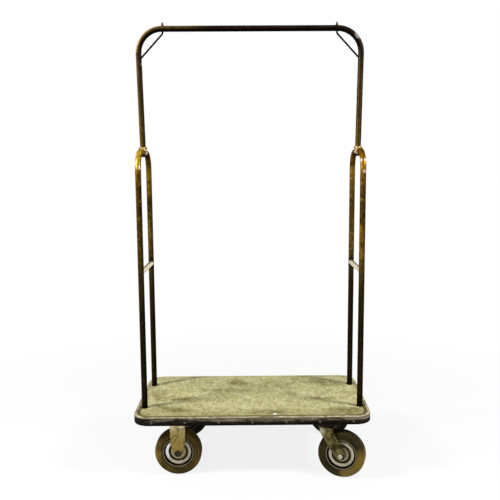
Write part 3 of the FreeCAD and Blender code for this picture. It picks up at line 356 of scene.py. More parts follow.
def carpet_finish():
    """Pale olive cut pile, soiled in patches, with painted shade and dirt along its edge and round the
    posts.
    """
    m = Finish("carpet_pile")
    tuft = m.noise(300.0, 2.0, 0.7)
    clump = m.noise(120.0, 4.0, 0.65)
    mottle = m.noise(34.0, 5.0, 0.6)
    patch = m.noise(11.0, 5.0, 0.6)
    drag = m.noise(30.0, 5.0, 0.65, m.stretched(0.35, 1.0, 1.0))
    nap = m.noise(92.0, 4.0, 0.65, m.stretched(1.0, 0.4, 1.0))
    edge = m.add("ShaderNodeAttribute", attribute_name="edge").outputs["Fac"]
    wear = m.add("ShaderNodeAttribute", attribute_name="wear").outputs["Fac"]
    base = m.mix(m.between(0.32, 0.68, mottle), rgb(204, 198, 141), rgb(224, 219, 170))
    base = m.layer(base, rgb(178, 171, 112), m.between(0.48, 0.66, patch), 0.3)
    base = m.layer(base, rgb(220, 216, 178), m.between(0.54, 0.70, drag), 0.35)
    soil = m.maths("MULTIPLY", wear, m.between(0.90, 0.30, mottle))
    base = m.mix(soil, base, rgb(102, 88, 24))
    base = m.layer(base, rgb(132, 122, 56), m.between(0.52, 0.36, nap), 0.5)
    base = m.layer(base, rgb(230, 226, 186), m.between(0.56, 0.70, nap), 0.4)
    base = m.layer(base, rgb(122, 112, 54), m.between(0.52, 0.36, clump), 0.42)
    base = m.layer(base, rgb(108, 98, 44), m.between(0.50, 0.34, tuft), 0.45)
    front = m.between(*CARPET_FRONT, m.axis("Y"))
    base = m.layer(base, rgb(118, 108, 50), front, 0.32)
    # Painted shade and dirt inside the lip and round the posts' feet
    base = m.layer(base, rgb(78, 70, 26), edge, 0.9)
    fleck = m.between(*FLECK_REACH, m.vectors("DISTANCE", m.place, FLECK, "Value"))
    base = m.mix(fleck, base, rgb(250, 250, 246))
    pile = m.maths("ADD", m.maths("MULTIPLY", tuft, 0.6), m.maths("MULTIPLY", clump, 0.9))
    return m.use(
        Base_Color=base,
        Roughness=m.span(0.86, 1.0, clump),
        Specular_IOR_Level=0.04,
        Sheen_Weight=0.02,
        Sheen_Roughness=0.6,
        Normal=m.bump(pile, 0.0045),
    )


def trim_finish():
    """A pale vinyl lip, rubbed and specked with dirt."""
    m = Finish("trim_lip")
    grime = m.noise(16.0, 6.0, 0.65)
    rub = m.noise(60.0, 5.0, 0.6)
    scrape = m.noise(22.0, 6.0, 0.7, m.stretched(0.6, 0.6, 4.0))
    base = m.mix(m.between(0.35, 0.65, rub), rgb(148, 138, 106), rgb(196, 182, 148))
    base = m.layer(base, rgb(88, 79, 56), m.between(0.48, 0.64, grime), 0.8)
    base = m.layer(base, rgb(48, 39, 24), m.specks(130.0, 0.30), 0.6)
    side = m.mix(m.between(0.40, 0.64, scrape), rgb(52, 46, 34), rgb(126, 116, 96))
    base = m.mix(m.between(*LIP_SIDE, m.axis("Z")), base, side)
    base = m.layer(base, rgb(198, 192, 148), m.between(*LIP_REAR, m.axis("Y")), 0.85)
    return m.use(
        Base_Color=base,
        Roughness=m.span(0.5, 0.8, rub),
        Specular_IOR_Level=0.12,
        Normal=m.bump(rub, 0.0012),
    )


def bumper_finish():
    """A dark rubber band, scuffed along its upper half."""
    m = Finish("bumper_rubber")
    height = m.axis("Z")
    scuff = m.noise(9.0, 6.0, 0.68, m.stretched(1.0, 1.0, 5.0))
    scrape = m.noise(40.0, 5.0, 0.7, m.stretched(0.5, 0.5, 4.0))
    base = m.mix(m.between(0.38, 0.66, scrape), rgb(12, 9, 4), rgb(32, 27, 17))
    high = m.between(*BAND_SCUFFED, height)
    worn = m.maths("MULTIPLY", m.between(0.40, 0.62, scuff), high)
    base = m.layer(base, rgb(138, 130, 108), worn, 0.9)
    base = m.layer(base, rgb(118, 106, 84), m.between(0.60, 0.72, scrape), 0.5)
    base = m.mix(m.between(*BAND_FOOT, height), base, rgb(7, 5, 2))
    return m.use(
        Base_Color=base,
        Roughness=m.span(0.6, 0.9, scrape),
        Specular_IOR_Level=0.05,
        Normal=m.bump(scrape, 0.0012),
    )


def plywood_finish():
    """Plywood: long grain on the face, thin plies on the edge."""
    m = Finish("deck_plywood")
    grain = m.noise(14.0, 7.0, 0.6, m.stretched(0.18, 4.0, 1.0))
    ply = m.maths("SINE", m.maths("MULTIPLY", m.axis("Z"), PLY_RATE))
    base = m.mix(m.between(0.3, 0.7, grain), rgb(122, 94, 60), rgb(166, 134, 92))
    base = m.layer(base, rgb(88, 64, 38), m.between(0.1, 0.9, ply), 0.25)
    return m.use(Base_Color=base, Roughness=m.span(0.6, 0.85, grain), Normal=m.bump(grain, 0.001))


def tube_finish(name, stops, rubbed, spots_on_top, smoothness, sides):
    """Antique brass that darkens towards the deck, blotched where hands reach it, streaked and rubbed.

    stops are the colours at heights. rubbed lists worn places under the streaks, one of them also a
    painted
    highlight, and on the hanger a lighter corner that is painted light; spots_on_top lists those on top
    of all:
    scratches, painted highlights, painted reflections and painted shadows. Each has a reach, a strength
    and a colour. smoothness is the range of roughness. sides are the strengths of a painted highlight
    along the upper edge at the left, of painted shade down the lower right-hand side and of painted shade
    underneath, with some tarnish there too."""
    m = Finish(name)
    drift = m.noise(6.0, 3.0, 0.5)
    height = m.maths("ADD", m.axis("Z"), m.span(-0.04, 0.04, drift))
    streak = m.noise(34.0, 5.0, 0.65, m.stretched(1.0, 1.0, 0.14))
    mottle = m.noise(46.0, 6.0, 0.65)

    def spots(base, places):
        for centre, reach, strength, colour in places:
            away = m.vectors("DISTANCE", m.place, centre, "Value")
            patch = m.maths("ADD", away, m.span(-0.4 * reach, 0.4 * reach, mottle))
            base = m.layer(base, colour, m.between(reach, reach * 0.45, patch), strength)
        return base

    base = m.ramp(height, *TUBE_ENDS, stops)
    # Worn places; on the hanger a lighter corner, painted light from the left
    base = spots(base, rubbed)
    base = m.layer(base, rgb(16, 11, 4), m.between(0.44, 0.66, streak), 0.6)
    base = m.layer(base, rgb(92, 70, 32), m.between(0.57, 0.72, mottle), 0.4)
    handled = m.maths("MULTIPLY", m.between(*HANDLED_ABOVE, height), m.between(*HANDLED_BELOW, height))
    amber = m.maths("MULTIPLY", m.between(0.52, 0.64, mottle), handled)
    base = m.layer(base, rgb(146, 110, 38), amber, 0.55)
    blotch = m.maths("MULTIPLY", m.between(0.48, 0.36, mottle), handled)
    base = m.layer(base, rgb(16, 11, 3), blotch, 0.55)
    freckle = m.noise(120.0, 4.0, 0.6, m.stretched(1.0, 1.0, 0.5))
    base = m.layer(base, rgb(20, 14, 4), m.between(0.52, 0.38, freckle), 0.5)
    turned = m.maths("SUBTRACT", m.facing("Z"), m.facing("X"))
    bright, dark, under = sides
    # Painted highlight along the upper edges at the left, where the left lamp falls
    lit = m.maths("MULTIPLY", m.between(0.58, 1.05, turned), m.between(*LIT_SIDE, m.axis("X")))
    base = m.layer(base, rgb(232, 206, 150), lit, bright)
    # Painted shade down the lower right-hand sides
    base = m.layer(base, rgb(12, 9, 4), m.between(0.10, -0.70, turned), dark)
    # Painted shade underneath, with some tarnish
    base = m.layer(base, rgb(8, 6, 4), m.between(0.06, -0.14, m.facing("Z")), under)
    # On top of all: scratches, painted highlights, painted reflections and painted shadows
    base = spots(base, spots_on_top)
    return m.use(
        Base_Color=base,
        Metallic=0.92,
        Roughness=m.span(*smoothness, mottle),
        Specular_IOR_Level=0.1,
        Specular_Tint=(0.30, 0.24, 0.14, 1.0),
        Normal=m.bump(m.noise(210.0, 3.0), 0.0005),
    )


def bright_bar_finish():
    """Polished champagne bar: fine scratches, a few dull spots, and painted shade as a dark matt line
    along its upper outer side.
    """
    m = Finish("crossbar_polish")
    scratch = m.noise(80.0, 5.0, 0.7, m.stretched(1.0, 0.08, 1.0))
    haze = m.noise(30.0, 5.0, 0.6)
    base = m.mix(m.between(0.4, 0.7, scratch), rgb(206, 196, 168), rgb(246, 240, 224))
    base = m.layer(base, rgb(138, 118, 82), m.between(0.56, 0.72, haze), 0.55)
    # Painted shade: a dark matt line along the upper outer side
    outward = m.maths("MULTIPLY", m.facing("X"), m.maths("SIGN", m.axis("X")))
    raised = m.maths("MULTIPLY", m.maths("ADD", outward, m.facing("Z")), SLANT)
    grime = m.maths("ADD", raised, m.span(-0.12, 0.12, haze))
    shade_line = m.maths("MULTIPLY", m.between(0.28, 0.50, grime), m.between(0.97, 0.86, raised))
    dull = m.maths("MULTIPLY", shade_line, 0.92)
    base = m.mix(dull, base, rgb(70, 60, 20))
    return m.use(
        Base_Color=base,
        Metallic=m.span(0.95, 0.1, dull),
        Roughness=m.span(0.14, 0.42, haze),
        Specular_IOR_Level=0.1,
        Specular_Tint=(0.90, 0.86, 0.74, 1.0),
        Normal=m.bump(scratch, 0.0004),
    )


def dark_metal_finish(name, dark, light):
    """Blackened steel, with the bare metal showing at its edges."""
    m = Finish(name)
    grain = m.noise(120.0, 5.0, 0.65)
    base = m.mix(m.between(0.35, 0.7, grain), dark, light)
    base = m.layer(base, rgb(96, 86, 68), m.edges(0.0012), 0.3)
    return m.use(
        Base_Color=base,
        Metallic=0.3,
        Roughness=m.span(0.45, 0.7, grain),
        Specular_IOR_Level=0.1,
        Specular_Tint=(0.25, 0.22, 0.18, 1.0),
        Normal=m.bump(grain, 0.0005),
    )


def zinc_finish(name, dull, bright):
    """Dull zinc with spots of tarnish and brighter rubbed edges."""
    m = Finish(name)
    spangle = m.noise(75.0, 5.0, 0.6)
    tarnish = m.noise(28.0, 5.0, 0.6)
    base = m.mix(m.between(0.35, 0.68, spangle), dull, bright)
    base = m.layer(base, rgb(84, 72, 50), m.between(0.54, 0.70, tarnish), 0.6)
    base = m.layer(base, rgb(226, 220, 206), m.edges(0.001), 0.45)
    return m.use(
        Base_Color=base,
        Metallic=0.85,
        Roughness=m.span(0.28, 0.55, spangle),
        Normal=m.bump(spangle, 0.0005),
    )


def rigid_fork_finish(name, hub):
    """Khaki gold plating: browner towards the axle, paler up under the deck with a painted highlight
    along the bend there, specked with grime, with painted shade along its sharp edges and a painted
    shadow round the nut at hub.
    """
    m = Finish(name)
    height = m.axis("Z")
    cloud = m.noise(30.0, 6.0, 0.65)
    grit = m.noise(120.0, 4.0, 0.7)
    base = m.ramp(height, *FORK_ENDS, [
        (0.08, rgb(138, 115, 54)),
        (0.150, rgb(156, 133, 70)),
        (0.200, rgb(184, 165, 104)),
        # Painted highlight where the bend under the deck catches the light
        (0.228, rgb(240, 229, 184)),
        (0.242, rgb(186, 172, 128)),
    ])
    base = m.layer(base, rgb(98, 80, 34), m.between(0.48, 0.64, cloud), 0.6)
    base = m.layer(base, rgb(62, 49, 18), m.between(0.55, 0.63, grit), 0.75)
    # Painted shade along the sharp edges
    base = m.layer(base, rgb(46, 37, 15), m.edges(0.0036), 0.75)
    # Painted shadow round the nut
    ring = m.between(*RIGID_NUT_SHADOW, m.radius(hub, (0, 1, 0)))
    base = m.layer(base, rgb(18, 15, 7), ring, 0.85)
    return m.use(
        Base_Color=base,
        Metallic=0.5,
        Roughness=m.span(0.46, 0.7, cloud),
        Specular_IOR_Level=0.15,
        Normal=m.bump(grit, 0.0008),
    )


def swivel_fork_finish(name, axis_point, hub):
    """Darker olive plating, with a pale worn corner under the deck, painted shade along its sharp edges
    and a painted shadow round the nut, a little below the axle at hub.
    """
    m = Finish(name)
    cloud = m.noise(42.0, 6.0, 0.65)
    grit = m.noise(130.0, 4.0, 0.7)
    base = m.mix(m.between(0.36, 0.62, cloud), rgb(46, 39, 15), rgb(122, 111, 64))
    corner = Vector(axis_point) + Matrix.Rotation(-SWIVEL_ANGLE, 3, "Z") @ Vector(WORN_CORNER)
    away = m.vectors("DISTANCE", m.place, tuple(corner), "Value")
    patch = m.maths("ADD", away, m.span(-0.016, 0.016, cloud))
    patch = m.maths("ADD", patch, m.span(-0.008, 0.008, grit))
    base = m.layer(base, rgb(196, 192, 160), m.between(0.030, 0.004, patch), 0.9)
    base = m.layer(base, rgb(28, 23, 8), m.between(0.54, 0.66, grit), 0.7)
    # Painted shade along the sharp edges
    base = m.layer(base, rgb(24, 20, 8), m.edges(0.0030), 0.7)
    # Painted shadow round the nut, shifted down
    ring = m.between(*SWIVEL_NUT_SHADOW, m.radius(hub + Vector(SWIVEL_RING_SHIFT), SWIVEL_AXLE))
    base = m.layer(base, rgb(14, 12, 6), ring, 0.85)
    return m.use(
        Base_Color=base,
        Metallic=0.5,
        Roughness=m.span(0.46, 0.74, cloud),
        Specular_IOR_Level=0.12,
        Normal=m.bump(grit, 0.0009),
    )


def tyre_finish(name, centre, axle, tones, dust_and_light_spots):
    """Old brown-black rubber: streaked round the sidewall, with spots of dusting, painted light and
    painted shade, a painted shadow at the bead and faint mould rings.

    tones are its darkest and lightest colour; dust_and_light_spots lists spots of dusting, painted light
    and painted shade, each with a reach, a strength and a colour."""
    m = Finish(name)
    radius = m.radius(centre, axle)
    cloud = m.noise(22.0, 5.0, 0.6)
    grain = m.noise(150.0, 4.0, 0.7)
    streak = m.swirl(radius, 230.0, 13.0)
    base = m.mix(m.between(0.36, 0.64, streak), *tones)
    base = m.layer(base, tones[0], m.between(0.42, 0.66, cloud), 0.35)
    # Painted shadow where the tyre meets the rim
    base = m.layer(base, rgb(12, 10, 5), m.between(*TYRE_BEAD_SHADOW, radius), 0.7)
    for spot, reach, strength, colour in dust_and_light_spots:
        away = m.vectors("DISTANCE", m.place, spot, "Value")
        patch = m.maths("ADD", away, m.span(-0.022, 0.022, cloud))
        patch = m.maths("ADD", patch, m.span(-0.020, 0.020, streak))
        dust_and_light = m.maths("MULTIPLY", m.between(reach, reach * 0.35, patch), strength)
        base = m.mix(dust_and_light, base, colour)
    base = m.layer(base, tones[1], m.between(0.58, 0.74, grain), 0.3)
    rings = m.maths("SINE", m.maths("MULTIPLY", radius, MOULD_RATE))
    relief = m.maths("ADD", m.maths("MULTIPLY", grain, 0.8), m.maths("MULTIPLY", rings, 0.18))
    return m.use(
        Base_Color=base,
        Roughness=m.span(0.66, 0.92, grain),
        Specular_IOR_Level=0.06,
        Normal=m.bump(relief, 0.0010),
    )


def rim_finish(name, centre, axle, painted_shade, shine):
    """Cream and zinc rings on the rim, with black in the grooves between them, which is grime and painted
    shade.

    soot is how far painted shade has blackened it all; shine lists painted highlights on the cream ring,
    each with a reach."""
    m = Finish(name)
    rust = m.noise(40.0, 6.0, 0.65)
    wobble = m.span(-0.0012, 0.0012, m.noise(30.0, 4.0, 0.6))
    radius = m.maths("ADD", m.radius(centre, axle), wobble)
    # Black in the grooves: grime and painted shade
    base = m.ramp(radius, *RIM_ENDS, [
        (0.010, rgb(60, 50, 30)),
        (0.0185, rgb(96, 84, 54)),
        (0.0230, rgb(150, 139, 104)),
        (0.0275, rgb(160, 150, 118)),
        (0.0320, rgb(118, 105, 70)),
        (0.0352, rgb(84, 73, 45)),
        (0.0368, rgb(18, 15, 8)),
        (0.0412, rgb(20, 16, 9)),
        (0.0432, rgb(176, 167, 142)),
        (0.0540, rgb(190, 182, 160)),
        (0.0556, rgb(13, 11, 6)),
        (0.0622, rgb(11, 9, 5)),
        (0.0634, rgb(124, 114, 90)),
        (0.0668, rgb(84, 75, 52)),
        (0.0680, rgb(20, 16, 9)),
    ])
    base = m.layer(base, rgb(92, 78, 46), m.between(0.52, 0.70, rust), 0.5)
    # Painted highlights on the cream ring
    for spot, reach in shine:
        away = m.vectors("DISTANCE", m.place, spot, "Value")
        painted_highlight = m.between(reach, reach * 0.4, away)
        painted_highlight = m.maths("MULTIPLY", painted_highlight, m.between(*CREAM_INNER, radius))
        painted_highlight = m.maths("MULTIPLY", painted_highlight, m.between(*CREAM_OUTER, radius))
        base = m.mix(painted_highlight, base, rgb(254, 253, 248))
    # Painted shade over the rear rims, which sit under the deck
    if painted_shade:
        base = m.mix(m.span(painted_shade - SHADE_SPREAD, painted_shade + SHADE_SPREAD, rust), base, rgb(12, 11, 7))
    return m.use(
        Base_Color=base,
        Metallic=0.35,
        Roughness=m.span(0.36, 0.64, rust),
        Specular_IOR_Level=0.2,
        Normal=m.bump(rust, 0.0006),
    )


# Carpet: a sheet of pile, cut round the four posts


def rounded_outline(half_x, half_y, corner, step):
    """Points round a rectangle with rounded corners, about evenly spaced."""
    points = []
    quarters = ((1, 1, 0), (-1, 1, 90), (-1, -1, 180), (1, -1, 270))
    arc_steps = max(4, round(corner * math.pi / 2 / step))
    for sign_x, sign_y, start in quarters:
        centre = Vector((sign_x * (half_x - corner), sign_y * (half_y - corner)))
        for index in range(arc_steps + 1):
            turn = math.radians(start + 90 * index / arc_steps)
            points.append(centre + corner * Vector((math.cos(turn), math.sin(turn))))
    filled = []
    for index, point in enumerate(points):
        following = points[(index + 1) % len(points)]
        pieces = max(1, round((following - point).length / step))
        filled.extend(point.lerp(following, part / pieces) for part in range(pieces))
    return filled


def inside_distance(point, half_x, half_y, corner):
    """How far a point lies inside a rectangle with rounded corners."""
    over_x = abs(point.x) - (half_x - corner)
    over_y = abs(point.y) - (half_y - corner)
    outside = math.hypot(max(over_x, 0.0), max(over_y, 0.0))
    return corner - outside - min(max(over_x, over_y), 0.0)


def smooth(low, high, number):
    """A smooth step from 0 at low to 1 at high, which may be the lower of the two."""
    share = min(max((number - low) / (high - low), 0.0), 1.0)
    return share * share * (3 - 2 * share)


def soiling(point):
    """How dirty the pile is at a point, from 0 to 1."""
    scale_x, scale_y = SOIL_SCALE
    ragged = noise.fractal(Vector((point.x * scale_x, point.y * scale_y, SOIL_SEED)), *SOIL_FRACTAL)
    total = SOIL_STRENGTH * smooth(*SOIL_EDGE, ragged)
    for x, y, reach_x, reach_y, strength in STAINS:
        away = math.hypot((point.x - x) / reach_x, (point.y - y) / reach_y)
        total += STAIN_GAIN * strength * smooth(*STAIN_EDGE, away + STAIN_RAGGED * ragged)
    return min(total, 1.0)


def carpet_mesh():
    """The pile's upper face, cut round the posts, with sides and an underside."""
    low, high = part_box("deck_carpet")
    half_x = high.x
    half_y = high.y
    posts = [Vector((x, y)) for x in (-POST_X, POST_X) for y in (-POST_Y, POST_Y)]
    shuffle = random.Random(PILE_SEED)
    outline = rounded_outline(half_x, half_y, CARPET_CORNER, OUTLINE_STEP)
    points = list(outline)
    loops = [list(range(len(outline)))]
    for post in posts:
        start = len(points)
        for index in range(HOLE_STEPS):
            turn = 2 * math.pi * index / HOLE_STEPS
            points.append(post + HOLE_RADIUS * Vector((math.cos(turn), math.sin(turn))))
        loops.append(list(range(start, len(points))))
    columns = int(2 * half_x / PILE_STEP)
    rows = int(2 * half_y / PILE_STEP)
    for column in range(1, columns):
        for row in range(1, rows):
            shift_x = shuffle.uniform(-PILE_JITTER, PILE_JITTER)
            shift_y = shuffle.uniform(-PILE_JITTER, PILE_JITTER)
            jitter = Vector((shift_x, shift_y)) * PILE_STEP
            point = Vector((column * PILE_STEP - half_x, row * PILE_STEP - half_y)) + jitter
            clear = min((point - post).length for post in posts) - HOLE_RADIUS
            inner = inside_distance(point, half_x, half_y, CARPET_CORNER)
            if min(clear, inner) > PILE_STEP / 2:
                points.append(point)
    edges = [(loop[index - 1], loop[index]) for loop in loops for index in range(len(loop))]
    flat, _, triangles, _, _, _ = geometry.delaunay_2d_cdt(points, edges, [loops[0]], 1, MERGE_DISTANCE)

    def in_hole(triangle):
        middle = sum((flat[index] for index in triangle), Vector((0, 0))) / 3
        return any((middle - post).length < HOLE_RADIUS * HOLE_SHARE for post in posts)

    triangles = [triangle for triangle in triangles if not in_hole(triangle)]
    vertices = []
    shade_and_dirt_marks = []
    wear_marks = []
    for point in flat:
        inner = inside_distance(point, half_x, half_y, CARPET_CORNER)
        clear = min((point - post).length for post in posts) - HOLE_RADIUS
        swell = noise.noise(Vector((point.x * SWELL_SCALE, point.y * SWELL_SCALE, SWELL_SEED)))
        lump = noise.noise(Vector((point.x * LUMP_SCALE, point.y * LUMP_SCALE, LUMP_SEED)))
        height = high.z - PILE_TOP + SWELL_HEIGHT * swell + LUMP_HEIGHT * lump
        height -= EDGE_DROP * (1 - smooth(0, EDGE_ROLL, inner)) ** 2
        height -= POST_DROP * (1 - smooth(0, POST_ROLL, clear))
        vertices.append((point.x, point.y, min(height, high.z)))
        # Painted shade and dirt inside the lip, fainter towards the rear, and round the posts' feet
        dirt = (1 - smooth(*EDGE_SHADE_AND_DIRT, inner)) * (1 - REAR_FAINTER * smooth(*REAR_EDGE, point.y))
        dirt += POST_SHADE_AND_DIRT * (1 - smooth(0, POST_SHADE_AND_DIRT_REACH, clear))
        shade_and_dirt_marks.append(min(dirt, 1.0))
        wear_marks.append(soiling(point))
    count = len(flat)
    faces = [tuple(triangle) for triangle in triangles]
    vertices.extend((point.x, point.y, low.z) for point in flat)
    faces.extend(tuple(count + index for index in reversed(triangle)) for triangle in triangles)
    sides = {}
    for triangle in triangles:
        for index in range(3):
            sides[(triangle[index - 1], triangle[index])] = True
    for first, second in sides:
        if (second, first) not in sides:
            faces.append((second, first, count + first, count + second))
    mesh = bpy.data.meshes.new("carpet")
    mesh.from_pydata(vertices, [], faces)
    for name, marks in (("edge", shade_and_dirt_marks), ("wear", wear_marks)):
        layer = mesh.attributes.new(name, "FLOAT", "POINT")
        layer.data.foreach_set("value", marks + marks)
    mesh.shade_smooth()
    mesh.set_sharp_from_angle(angle=math.radians(SHARP_DEGREES))
    return mesh


def make_carpet():
    """The carpet in place of its plain solid, as a sheet that is laid on the board."""
    carpet = bpy.data.objects.new("carpet", carpet_mesh())
    bpy.context.scene.collection.objects.link(carpet)
    carpet.data.materials.append(carpet_finish())
    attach(carpet, "cart")
    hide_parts("deck_carpet")


def dress_frame():
    """Materials for the deck, the tubes and what joins them."""
    brown = [
        (0.27, rgb(34, 27, 12)),
        (0.62, rgb(36, 29, 14)),
        (0.755, rgb(48, 39, 17)),
        (0.865, rgb(72, 58, 28)),
        (0.97, rgb(112, 88, 30)),
        (1.06, rgb(108, 82, 24)),
        (1.16, rgb(86, 64, 20)),
        (1.23, rgb(98, 70, 20)),
        (1.36, rgb(136, 98, 18)),
    ]
    gold = rgb(220, 184, 58)
    pale = rgb(240, 228, 198)
    white = rgb(242, 238, 228)
    # Colour of the painted shadows where the crossbars meet the rear posts
    painted_shade = rgb(8, 6, 3)
    left = tube_finish("left_loop_brass", brown, rubbed=[
        # Worn bright brass on the front shoulder, also a painted highlight
        ((-0.485, -0.105, 1.390), 0.105, 0.95, gold),
        ((-0.475, 0.147, 1.260), 0.090, 0.5, rgb(156, 120, 12)),
        ((-0.475, -0.147, 1.150), 0.150, 0.6, rgb(56, 43, 15)),
    ], spots_on_top=[
        # Painted reflection on the crown, over worn pale metal
        ((-0.462, 0.020, 1.396), 0.040, 0.8, pale),
        ((-0.468, -0.160, 1.326), 0.012, 0.4, rgb(226, 206, 190)),
        # Painted shadow where the crossbar meets the rear post
        ((-0.475, 0.134, 0.878), 0.034, 0.9, painted_shade),
    ], smoothness=(0.26, 0.52), sides=(0.15, 0.60, 0.15))
    right = tube_finish("right_loop_brass", brown, rubbed=[
        ((0.475, -0.115, 1.365), 0.100, 0.35, rgb(160, 118, 16)),
        ((0.475, -0.147, 1.150), 0.075, 0.6, rgb(56, 43, 15)),
    ], spots_on_top=[
        # Painted reflection on the crown, over worn pale metal
        ((0.462, -0.010, 1.398), 0.050, 0.85, pale),
        # Painted highlights, one on each edge of the front post
        ((0.461, -0.150, 1.355), 0.011, 0.6, white),
        ((0.489, -0.150, 1.355), 0.011, 0.7, white),
        ((0.478, -0.160, 1.306), 0.011, 0.5, rgb(220, 190, 160)),
        # Painted shadow where the crossbar meets the rear post
        ((0.475, 0.134, 0.878), 0.034, 0.9, painted_shade),
    ], smoothness=(0.30, 0.54), sides=(0.05, 0.60, 0.15))
    hanger = tube_finish("hanger_brass", [
        (1.40, rgb(84, 64, 25)),
        (1.49, rgb(84, 63, 25)),
        (1.585, rgb(68, 52, 26)),
        (1.745, rgb(60, 46, 29)),
        (1.81, rgb(48, 35, 28)),
        (1.94, rgb(44, 30, 21)),
    ], rubbed=[
        # Lighter upper left-hand corner: painted light from the left
        ((-0.360, 0.0, 1.935), 0.190, 0.80, rgb(98, 76, 42)),
    ], spots_on_top=[
        ((-0.463, -0.004, 1.770), 0.014, 0.7, rgb(196, 196, 182)),
        # Painted glint on the outer side of the right-hand bend
        ((0.4673, -0.004, 1.890), 0.022, 0.5, rgb(168, 162, 158)),
    ], smoothness=(0.36, 0.60), sides=(0.75, 0.75, 0.90))
    paint(left, "left_loop")
    paint(right, "right_loop")
    paint(hanger, "hanger_frame")
    collar = zinc_finish("collar_brass", rgb(126, 96, 40), rgb(222, 198, 132))
    paint(collar, "left_post_saddle", "right_post_saddle")
    paint(bright_bar_finish(), "left_crossbar", "right_crossbar")
    black = dark_metal_finish("dark_rod", rgb(8, 6, 4), rgb(24, 19, 14))
    paint(black, "left_corner_rod", "right_corner_rod")
    tip = dark_metal_finish("tip_brass", rgb(62, 48, 26), rgb(108, 87, 52))
    paint(tip, "rod_washers", "rod_cap_nuts")
    paint(black, "saddle_bolts", "saddle_washers", "saddle_screws")
    paint(dark_metal_finish("blackened_nut", rgb(14, 13, 9), rgb(66, 64, 48)), "rigid_axle_nuts")
    paint(trim_finish(), "carpet_trim")
    paint(bumper_finish(), "bumper_strip")
    paint(plywood_finish(), "deck_board")
    paint(zinc_finish("screw_heads", rgb(40, 34, 24), rgb(88, 78, 60)), "bumper_screws")


def corner_of(joint):
    """The corner that a caster's joint belongs to, such as front_left."""
    return "_".join(joint["name"].split("_")[:2])


def dress_casters():
    """Materials for the casters and for the fasteners under the deck."""
    fastener = zinc_finish("dull_zinc", rgb(122, 112, 92), rgb(178, 170, 150))
    steel = zinc_finish("oiled_steel", rgb(92, 88, 80), rgb(150, 146, 138))
    bright = zinc_finish("bright_nut", rgb(150, 141, 122), rgb(222, 217, 206))
    # The caster bolts and nuts under the deck, dark all over
    dark_fastener = dark_metal_finish("grimy_zinc", rgb(24, 21, 14), rgb(70, 63, 46))
    paint(fastener, "post_bolts", "post_washers", "rigid_axle_bolts", "kingpin_nuts")
    paint(dark_fastener, "caster_bolts", "caster_nuts")
    paint(steel, "post_plugs", "rigid_axle_sleeves", "swivel_kingpins", "kingpin_washers")
    hubs = {}
    for joint in frame["joints"]:
        if joint["name"].endswith("wheel_spin"):
            hubs[corner_of(joint)] = Vector(joint["pos_m"])
    for corner in ("front_left", "rear_left"):
        paint(rigid_fork_finish(f"{corner}_fork_plating", hubs[corner]), f"{corner}_fork")
    race = dark_metal_finish("swivel_race", rgb(24, 21, 14), rgb(60, 52, 34))
    for joint in frame["joints"]:
        place = tuple(joint["pos_m"])
        corner = corner_of(joint)
        if joint["name"].endswith("swivel_turn"):
            foot = (place[0], place[1], 0.0)
            paint(swivel_fork_finish(f"{corner}_fork_plating", foot, hubs[corner]), f"{corner}_fork")
            paint(race, f"{corner}_swivel_plate")
            paint(steel, f"{corner}_race_balls", f"{corner}_axle_sleeve")
            paint(fastener, f"{corner}_axle_bolt")
            paint(bright, f"{corner}_axle_nut")
            continue
        axle = Vector(joint["axis"])
        # Rear tyres darker all over: painted shade under the deck
        tones = (rgb(14, 13, 8), rgb(34, 30, 17))
        dust_and_light = rgb(128, 102, 42)
        dust_and_light_spots = []
        shine = []
        # Rear rims blackened by painted shade
        painted_shade = 0.8
        if corner == "front_right":
            tones = (rgb(30, 26, 11), rgb(62, 53, 25))
            # Light brown on the right and low down: painted light from the right lamp, with dusting
            dust_and_light_spots.append(((place[0] + 0.088, place[1] - 0.035, 0.075), 0.075, 0.85, dust_and_light))
            dust_and_light_spots.append(((place[0] + 0.025, place[1] - 0.035, 0.020), 0.050, 0.75, rgb(126, 106, 52)))
            painted_shade = 0.0
        elif corner == "front_left":
            tones = (rgb(54, 44, 16), rgb(100, 83, 35))
            # Light brown on the left: painted light from the left lamp, with dusting
            dust_and_light_spots.append(((place[0] - 0.104, place[1] - 0.010, place[2] - 0.020), 0.050, 0.8, dust_and_light))
            # Darker at the bottom: painted shade
            dust_and_light_spots.append(((place[0] + 0.010, place[1] - 0.020, 0.000), 0.075, 0.6, rgb(38, 33, 15)))
            # Painted highlight on the left of the front-left rim's cream ring
            shine.append(((place[0] - 0.048, place[1] - 0.018, place[2] + 0.008), 0.045))
            painted_shade = 0.0
        paint(tyre_finish(f"{corner}_rubber", place, axle, tones, dust_and_light_spots), f"{corner}_tyre")
        rings = rim_finish(f"{corner}_rim_rings", place, axle, painted_shade, shine)
        paint(rings, f"{corner}_rim_outer", f"{corner}_rim_inner")
        paint(steel, f"{corner}_bearing")


# Studio


def seen_directly(tree):
    """1 for the rays that show a surface as background: seen straight, mirrored or through glass."""
    light_path = tree.nodes.new("ShaderNodeLightPath")
    total = light_path.outputs["Is Camera Ray"]
    for name in ("Is Glossy Ray", "Is Transmission Ray"):
        larger = tree.nodes.new("ShaderNodeMath")
        larger.operation = "MAXIMUM"
        tree.links.new(total, larger.inputs[0])
        tree.links.new(light_path.outputs[name], larger.inputs[1])
        total = larger.outputs[0]
    return total


def make_world():
    """White where it is seen, and a faint light from all round."""
    world = bpy.data.worlds.new("studio")
    bpy.context.scene.world = world
    world.use_nodes = True
    tree = world.node_tree
    background = tree.nodes["Background"]
    background.inputs["Color"].default_value = (1.0, 1.0, 1.0, 1.0)
    strength = tree.nodes.new("ShaderNodeMapRange")
    strength.inputs["To Min"].default_value = FILL_STRENGTH
    strength.inputs["To Max"].default_value = 1.0
    tree.links.new(seen_directly(tree), strength.inputs["Value"])
    tree.links.new(strength.outputs["Result"], background.inputs["Strength"])


